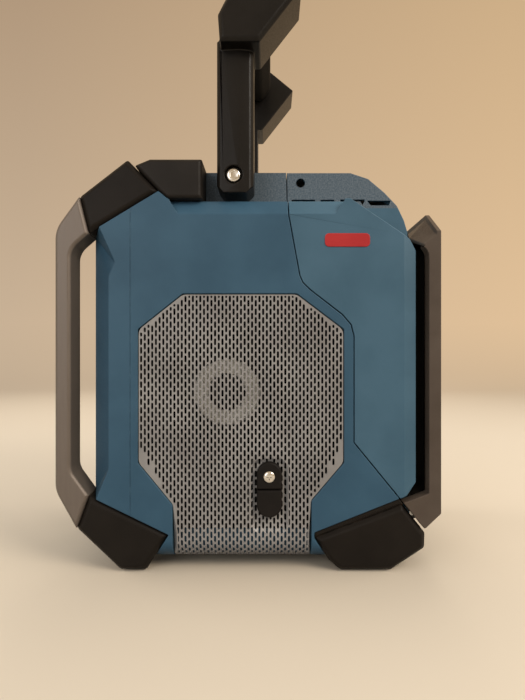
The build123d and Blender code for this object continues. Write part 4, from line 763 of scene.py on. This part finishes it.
def widen_door(door):
    """Flattens the door's rear chamfer, and cuts the side's sloping band on into the door."""
    with edited(door.data) as work:
        for vert in work.verts:
            x, y, _ = vert.co / MM
            on_chamfer = abs(abs(x) + y - SIDE_X - DOOR_CHAMFER_Y) < CHAMFER_MARGIN
            if on_chamfer and y > DOOR_CHAMFER_Y + CHAMFER_MARGIN / 2:
                vert.co.x = math.copysign(SIDE_X - (y - DOOR_CHAMFER_Y) * DOOR_CHAMFER_FALL, x) * MM
    cut_by(door, band_wedge(1), band_wedge(-1))


def band_wedge(side):
    """Cutter above the sloping band, which ends on a slant."""
    slant = (BAND_TOP - BAND_LOW) * BAND_OVERSHOOT
    over, under = BAND_TOP + slant, BAND_LOW - slant
    rise = BAND_TOP - BAND_LOW
    outward = Vector((rise.z, 0, -rise.x)).normalized() * BAND_CUT_DEPTH
    ring = [over, under, Vector((under.x, BAND_START_Y, under.z)), Vector((over.x, BAND_START_Y, over.z))]
    rings = (ring, [p + outward for p in ring])
    return loft(*([(side * p.x, p.y, p.z) for p in corners] for corners in rings))


def cut_recess_wall(door):
    """Round hole and drain slots in the door's upper side walls."""
    shapes = [round_outline(*RECESS_HOLE, RECESS_HOLE_RADIUS)] + RECESS_SLOTS
    for side in (1, -1):
        cut_by(door, *(prism(shape, *(side * x for x in RECESS_CUT_X)) for shape in shapes))
    flatten(door)


# ---------------------------------------------------------------- turned pieces
TURN_SHARP_ANGLE = 40

SPEAKER_CENTRE = (-17.0, 126.0)
PIVOT_CENTRE = (-10.3, 282.9)
SCREW_CENTRE = (15.2, 68.3)
DIAL_CENTRE = (0.0, 110.0)
ANTENNA_X = -34.0
ANTENNA_Z = 299.5
ANTENNA_PIN_Y = -72.0

# profiles in mm, as (place along the axis, radius), with a third value where the rim isn't round
CONE = [
    (65.2, 51.0), (66.2, 51.0), (66.2, 50.2), (67.4, 49.0), (68.0, 47.3), (67.4, 45.6), (66.0, 44.4),
    (61.5, 37.0), (57.5, 30.5), (54.6, 25.9), (53.2, 25.3), (53.2, 13.8), (54.8, 13.0), (56.6, 9.5),
    (57.6, 5.0), (57.9, 0.0), (56.9, 0.0), (52.2, 13.8), (52.2, 25.6), (65.2, 45.0), (65.2, 51.0),
]
CONE_RING = [
    (53.2, 25.0), (55.2, 25.0), (56.0, 24.4), (56.3, 23.2), (56.1, 20.0), (56.0, 18.5), (56.3, 16.0),
    (56.0, 14.6), (55.2, 14.1), (53.2, 14.1), (53.2, 25.0),
]
PIVOT_SCREW = [
    (45.0, 0.0), (45.0, 4.0), (78.0, 4.0), (78.0, 5.1), (78.3, 5.2), (79.3, 5.2), (79.9, 4.9),
    (80.4, 4.2), (80.6, 3.4), (80.6, 3.1, "hex"), (80.4, 2.7, "hex"), (79.0, 2.6, "hex"), (78.8, 0.0),
]
CAP_SCREW = [
    (79.2, 0.0), (79.2, 1.8), (82.6, 1.8), (82.6, 4.2), (82.8, 4.3), (83.5, 4.3), (84.2, 3.9),
    (84.6, 3.2), (84.8, 2.0), (84.8, 0.0),
]
ANTENNA_EYE = [
    (-37.5, 1.6), (-37.5, 4.1), (-37.1, 4.5), (-30.9, 4.5), (-30.5, 4.1), (-30.5, 1.6), (-37.5, 1.6),
]
ANTENNA_ROD = [
    (-69.5, 0.0), (-69.5, 3.4), (-66.0, 3.8), (-46.3, 3.8), (-46.0, 3.5), (-46.0, 3.3), (-24.3, 3.3),
    (-24.0, 3.1), (-24.0, 2.8), (-2.3, 2.8), (-2.0, 2.6), (-2.0, 2.3), (18.0, 2.3), (18.0, 3.4),
    (18.6, 3.8), (22.6, 3.8), (23.6, 3.2), (24.0, 2.2), (24.0, 0.0),
]
DIAL = [
    (-118.1, 0.0), (-118.1, 26.6), (-118.5, 27.0), (-119.3, 27.0), (-119.7, 26.6), (-119.7, 25.2),
    (-120.0, 25.0, "fluted"), (-124.2, 24.4, "fluted"), (-125.0, 23.8, "fluted"), (-125.4, 23.0),
    (-125.6, 22.2), (-125.6, 20.4), (-125.2, 19.6), (-124.5, 18.8), (-124.4, 17.0), (-124.8, 0.0),
]
DIAL_FLUTES = 30
FLUTE_DEPTH = 1.0
CROSS_LENGTH = 4.6
CROSS_WIDTH = 1.1
CROSS_X = (83.2, 85.5)
CROSS_END_SCALE = 0.55


def radius_at(angle, radius, shape):
    """Distance from the axis to a round, hexagonal or fluted rim at this angle.

    The radius of a hexagon reaches to its corners, that of a fluted rim to its ridges.
    """
    if shape == "hex":
        third = math.pi / 3
        return radius * math.cos(third / 2) / math.cos((angle + third / 2) % third - third / 2)
    if shape == "fluted":
        return radius - FLUTE_DEPTH * (0.5 - 0.5 * math.cos(DIAL_FLUTES * angle))
    return radius


def turned(name, node, profile, centre, axis="X", sides=(1,), steps=64, sharp_angle=TURN_SHARP_ANGLE):
    """Piece turned about a line along X or Y, from (place, radius) or (place, radius, shape) points.

    The line passes through centre, the piece's other two coordinates.
    """
    mesh = bpy.data.meshes.new(name)
    with edited(mesh) as work:
        for side in sides:
            rings = []
            for place, radius, *shape in profile:
                ring = []
                for step in range(steps):
                    angle = 2 * math.pi * step / steps
                    reach = radius_at(angle, radius, shape[0] if shape else None)
                    u = centre[0] + reach * math.cos(angle)
                    v = centre[1] + reach * math.sin(angle)
                    point = (side * place, u, v) if axis == "X" else (u, place, v)
                    ring.append(work.verts.new([value * MM for value in point]))
                rings.append(ring)
            for lower, upper in zip(rings, rings[1:]):
                for step in range(steps):
                    after = (step + 1) % steps
                    work.faces.new((lower[step], lower[after], upper[after], upper[step]))
        weld(work)
        turn_outward(work)
    smooth(mesh)
    mesh.set_sharp_from_angle(angle=math.radians(sharp_angle))
    return link_piece(name, mesh, node)


def make_turned_pieces():
    """Speaker cones and rings, pivot screws, antenna and tuning dial."""
    both_sides = (1, -1)
    cones = turned("speaker_cones_fine", "speaker_cones", CONE, SPEAKER_CENTRE, sides=both_sides, steps=96)
    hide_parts("speaker_cones")
    rings = turned("cone_rings_fine", "cone_rings", CONE_RING, SPEAKER_CENTRE, sides=both_sides, steps=96)
    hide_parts("cone_rings")
    screws = turned("handle_pivot_screws_fine", "handle_pivot_screws", PIVOT_SCREW, PIVOT_CENTRE,
                    sides=both_sides, steps=60)
    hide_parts("handle_pivot_screws")
    turned("antenna_eye", "antenna", ANTENNA_EYE, (ANTENNA_PIN_Y, ANTENNA_Z))
    rod = turned("antenna_rod", "antenna", ANTENNA_ROD, (ANTENNA_X, ANTENNA_Z), axis="Y", steps=40)
    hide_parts("antenna")
    dial = turned("tuning_dial_fine", "tuning_dial", DIAL, DIAL_CENTRE, axis="Y", steps=360, sharp_angle=50)
    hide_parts("tuning_dial")


def make_cap_screw():
    """Pan head screw with a crossed recess, which holds the socket cover."""
    piece = turned("dc_cap_screw_fine", "dc_cap_screw", CAP_SCREW, SCREW_CENTRE, steps=48)
    for wide, high in ((CROSS_LENGTH, CROSS_WIDTH), (CROSS_WIDTH, CROSS_LENGTH)):
        cut_by(piece, prism(box_outline(*SCREW_CENTRE, wide, high), *CROSS_X, CROSS_END_SCALE))
    piece.data.set_sharp_from_angle(angle=math.radians(SHADE_SHARP_ANGLE))
    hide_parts("dc_cap_screw")


# ---------------------------------------------------------------- rear guard and badge
GUARD_PLATE = [(-82.0, 41.8), (-82.0, 242.8), (-54.0, 260.8), (54.0, 260.8), (82.0, 242.8), (82.0, 41.8),
               (54.0, 46.8), (-54.0, 46.8)]
GUARD_PLATE_Y = (134.0, 137.3)
CHEEK = [(110.6, 49.3), (125.2, 31.2), (126.6, 31.7), (137.3, 41.8), (137.3, 242.8), (125.2, 232.9),
         (125.6, 231.0), (127.2, 229.0), (128.2, 226.6), (128.6, 223.5), (128.6, 56.0)]
CHEEK_X = (71.6, 82.0)
WEB_MIDDLE = [(54.0, 122.0, 243.0), (54.0, 137.3, 260.8), (54.0, 137.3, 257.6), (54.0, 122.4, 240.2)]
WEB_SIDE = [(82.0, 125.2, 232.9), (82.0, 137.3, 242.8), (82.0, 137.3, 240.0), (82.0, 125.6, 230.9)]
GROOVES_X = (-48.0, -24.0, 0.0, 24.0, 48.0)
GROOVE_Z = (68.8, 238.8)
GROOVE_WIDTH = 7.0
GROOVE_DEPTH = 1.4
GROOVE_OVERCUT = 2
GUARD_WELD = 0.01
GUARD_EDGE = 0.6

BADGE_CENTRE = (70.6, 236.0)
BADGE_SIZE = (32.0, 9.6)
BADGE_CORNER = 3.4
BADGE_CORNER_STEPS = 6
BADGE_X = (81.9, 82.5)
BADGE_EDGE = 0.25


def opposite(ring):
    """The ring's mirror image on the left side of the radio."""
    return [(-x, y, z) for x, y, z in ring]


def make_rear_guard():
    """Grooved plate behind the door, with a sloping top and a cheek at each side."""
    back = GUARD_PLATE_Y[1]
    plate = loft(*([(x, y, z) for x, z in GUARD_PLATE] for y in GUARD_PLATE_Y))
    piece = link_piece("rear_guard_fine", solid_mesh("rear_guard_fine", plate), "rear_guard")
    join_to(piece, loft(opposite(WEB_SIDE), opposite(WEB_MIDDLE), WEB_MIDDLE, WEB_SIDE),
            prism(CHEEK, *CHEEK_X), prism(CHEEK, *sorted(-x for x in CHEEK_X)))
    for x in GROOVES_X:
        left, right = x - GROOVE_WIDTH / 2, x + GROOVE_WIDTH / 2
        bed, past = back - GROOVE_DEPTH, back + GROOVE_OVERCUT
        section = [(left, bed), (right, bed), (right, past), (left, past)]
        cut_by(piece, loft(*([(u, v, z) for u, v in section] for z in GROOVE_Z)))
    with edited(piece.data) as work:
        weld(work, GUARD_WELD)
        merge_flat_faces(work)
    soften(piece, GUARD_EDGE)
    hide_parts("rear_guard")


def make_badge():
    """Plain raised plate with rounded corners on the right side of the door."""
    outline = rounded(box_outline(*BADGE_CENTRE, *BADGE_SIZE), BADGE_CORNER, BADGE_CORNER_STEPS)
    piece = link_piece("door_badge", solid_mesh("door_badge", prism(outline, *BADGE_X)), "door_shell")
    bevel = piece.modifiers.new("edges", "BEVEL")
    bevel.width = BADGE_EDGE * MM
    bevel.segments = 2
    bevel.limit_method = "ANGLE"
    apply_modifiers(piece)
    piece.data.materials.clear()
    piece.data.materials.append(moulded("badge_red", **BADGE_LOOK).material)


# ---------------------------------------------------------------- fine perforated grilles
SLOT_PITCH = 2.63
SLOT_PERIOD = 6.1
SLOT_LENGTH = 5.0
SLOT_WIDTH = 1.6
SLOT_END_STEPS = 3
SHORTEST_SLOT = 1.15 * SLOT_WIDTH
GRILLE_EDGE = 0.6
GRILLE_CORNER = 7.0
GRILLE_CORNER_STEPS = 5
GRILLE_SHARP_ANGLE = 40
FILL_TOLERANCE = 0.0001
SHEET_THICKNESS = 1.0
BEND_RADIUS = 16.0
BEND_ANGLE = 74.0

# outline in mm, as (y, z), above the bend; the neck runs on below it
GRILLE_TOP_FRONT_Y = -46.1
GRILLE_TOP_REAR_Y = 34.7
GRILLE_SHOULDER_Z = 172.4
GRILLE_HIP_Z = 78.0
NECK_FRONT = (-53.0, 48.0)
NECK_REAR = (44.6, 51.0)

# hollow round the socket cover
DISH_CENTRE = (15.2, 54.5)
DISH_SIZE = (27.0, 53.0)
DISH_CORNER = 8.0
DISH_SLOPE = 2.6
DISH_DEPTH = 2.6


def crossing(outline, y):
    """Lowest and highest z of the outline at this y, or None."""
    found = []
    for (y0, z0), (y1, z1) in zip(outline, outline[1:] + outline[:1]):
        if (y0 - y) * (y1 - y) < 0:
            found.append(z0 + (z1 - z0) * (y - y0) / (y1 - y0))
    return (min(found), max(found)) if len(found) >= 2 else None


def slot_outline(y, low, high):
    """Slot with round ends, from low to high."""
    radius = SLOT_WIDTH / 2
    points = []
    for centre, start in ((high - radius, 0.0), (low + radius, math.pi)):
        for step in range(SLOT_END_STEPS + 1):
            angle = start + math.pi * step / SLOT_END_STEPS
            points.append((y + radius * math.cos(angle), centre + radius * math.sin(angle)))
    return points


def slots_within(outline, front_y, rear_y, top_z):
    """Staggered columns of slots inside the outline, cut short where they meet its edge."""
    slots = []
    columns = int((rear_y - front_y) / SLOT_PITCH / 2) + 1
    for column in range(-columns, columns + 1):
        y = (front_y + rear_y) / 2 + column * SLOT_PITCH
        spans = [crossing(outline, y + offset) for offset in (-SLOT_PITCH / 2, 0.0, SLOT_PITCH / 2)]
        if None in spans:
            continue
        lowest = max(span[0] for span in spans) + GRILLE_EDGE
        highest = min(span[1] for span in spans) - GRILLE_EDGE
        stagger = SLOT_PERIOD / 2 * (column % 2)
        for row in range(int((highest - lowest) / SLOT_PERIOD) + 3):
            centre = top_z - stagger - row * SLOT_PERIOD
            low = max(centre - SLOT_LENGTH / 2, lowest)
            high = min(centre + SLOT_LENGTH / 2, highest)
            if high - low >= SHORTEST_SLOT:
                slots.append(slot_outline(y, low, high))
    return slots


def dish_depth(y, z):
    """Depth of the sheet's hollow round the socket cover."""
    across_y = max(abs(y - DISH_CENTRE[0]) - DISH_SIZE[0] / 2 + DISH_CORNER, 0)
    along_z = max(abs(z - DISH_CENTRE[1]) - DISH_SIZE[1] / 2 + DISH_CORNER, 0)
    inside = DISH_CORNER - math.hypot(across_y, along_z)
    return DISH_DEPTH * min(max(inside / DISH_SLOPE, 0.0), 1.0)


def make_grille(node, side, dished):
    """Perforated sheet, bent under at the bottom, in place of a CAD grille.

    It is laid out flat, as (y, s). Above the bend s is z, and below it s runs along the bent sheet.
    """
    low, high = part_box(node)
    face_x = max(abs(low.x), abs(high.x)) / MM
    front_y = low.y / MM
    rear_y = high.y / MM
    top_z = high.z / MM
    bend_z = low.z / MM + BEND_RADIUS * math.sin(math.radians(BEND_ANGLE))
    end_s = bend_z - BEND_RADIUS * math.radians(BEND_ANGLE)
    corners = [
        (GRILLE_TOP_FRONT_Y, top_z), (GRILLE_TOP_REAR_Y, top_z), (rear_y, GRILLE_SHOULDER_Z),
        (rear_y, GRILLE_HIP_Z), NECK_REAR, (NECK_REAR[0], end_s), (NECK_FRONT[0], end_s), NECK_FRONT,
        (front_y, GRILLE_HIP_Z), (front_y, GRILLE_SHOULDER_Z),
    ]
    outline = rounded(corners, GRILLE_CORNER, GRILLE_CORNER_STEPS)[::-1]
    points = []
    loops = []
    for ring in [outline] + slots_within(outline, front_y, rear_y, top_z):
        loops.append(list(range(len(points), len(points) + len(ring))))
        points.extend(ring)
    flat, _, faces, _, _, origins = geometry.delaunay_2d_cdt(
        [Vector(point) for point in points], [], loops, 1, FILL_TOLERANCE)
    kept = [tuple(face) for face, origin in zip(faces, origins) if list(origin) == [0]]

    def bent(y, s):
        """Place of a point of the flat layout, in metres."""
        if s >= bend_z:
            sink = dish_depth(y, s) if dished else 0.0
            return (side * (face_x - sink) * MM, y * MM, s * MM)
        angle = (bend_z - s) / BEND_RADIUS
        x = face_x - BEND_RADIUS + BEND_RADIUS * math.cos(angle)
        return (side * x * MM, y * MM, (bend_z - BEND_RADIUS * math.sin(angle)) * MM)

    mesh = bpy.data.meshes.new(node + "_fine")
    mesh.from_pydata([bent(y, s) for y, s in flat], [], kept)
    with edited(mesh) as work:
        bmesh.ops.delete(work, geom=[v for v in work.verts if not v.link_faces], context="VERTS")
        turn_outward(work)
        if sum(face.normal.x * face.calc_area() for face in work.faces) * side < 0:
            bmesh.ops.reverse_faces(work, faces=work.faces)
    piece = link_piece(node + "_fine", mesh, node)
    sheet = piece.modifiers.new("thickness", "SOLIDIFY")
    sheet.thickness = SHEET_THICKNESS * MM
    sheet.offset = -1.0
    apply_modifiers(piece)
    piece.data.set_sharp_from_angle(angle=math.radians(GRILLE_SHARP_ANGLE))
    return piece


# ---------------------------------------------------------------- put together
bpy.context.scene.view_settings.view_transform = "Standard"
make_camera()
make_world()
for lamp in LAMPS:
    make_lamp(*lamp)
make_floor()
materials = make_materials()
for name, thing in nodes.items():
    thing.data.materials.clear()
    thing.data.materials.append(materials[slot_of_node[name]])
soft = {name: softened(name, radius) for name, radius in EDGE_RADII.items()}
cut_recess_wall(soft["door_shell"])
score_crease(soft["side_shell_right"], 1)
score_crease(soft["side_shell_left"], -1)
make_rear_guard()
make_turned_pieces()
make_cap_screw()
make_badge()
right_grille = make_grille("grille_right", 1, dished=True)
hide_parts("grille_right", "dc_socket_housing")
left_grille = make_grille("grille_left", -1, dished=False)
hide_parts("grille_left")
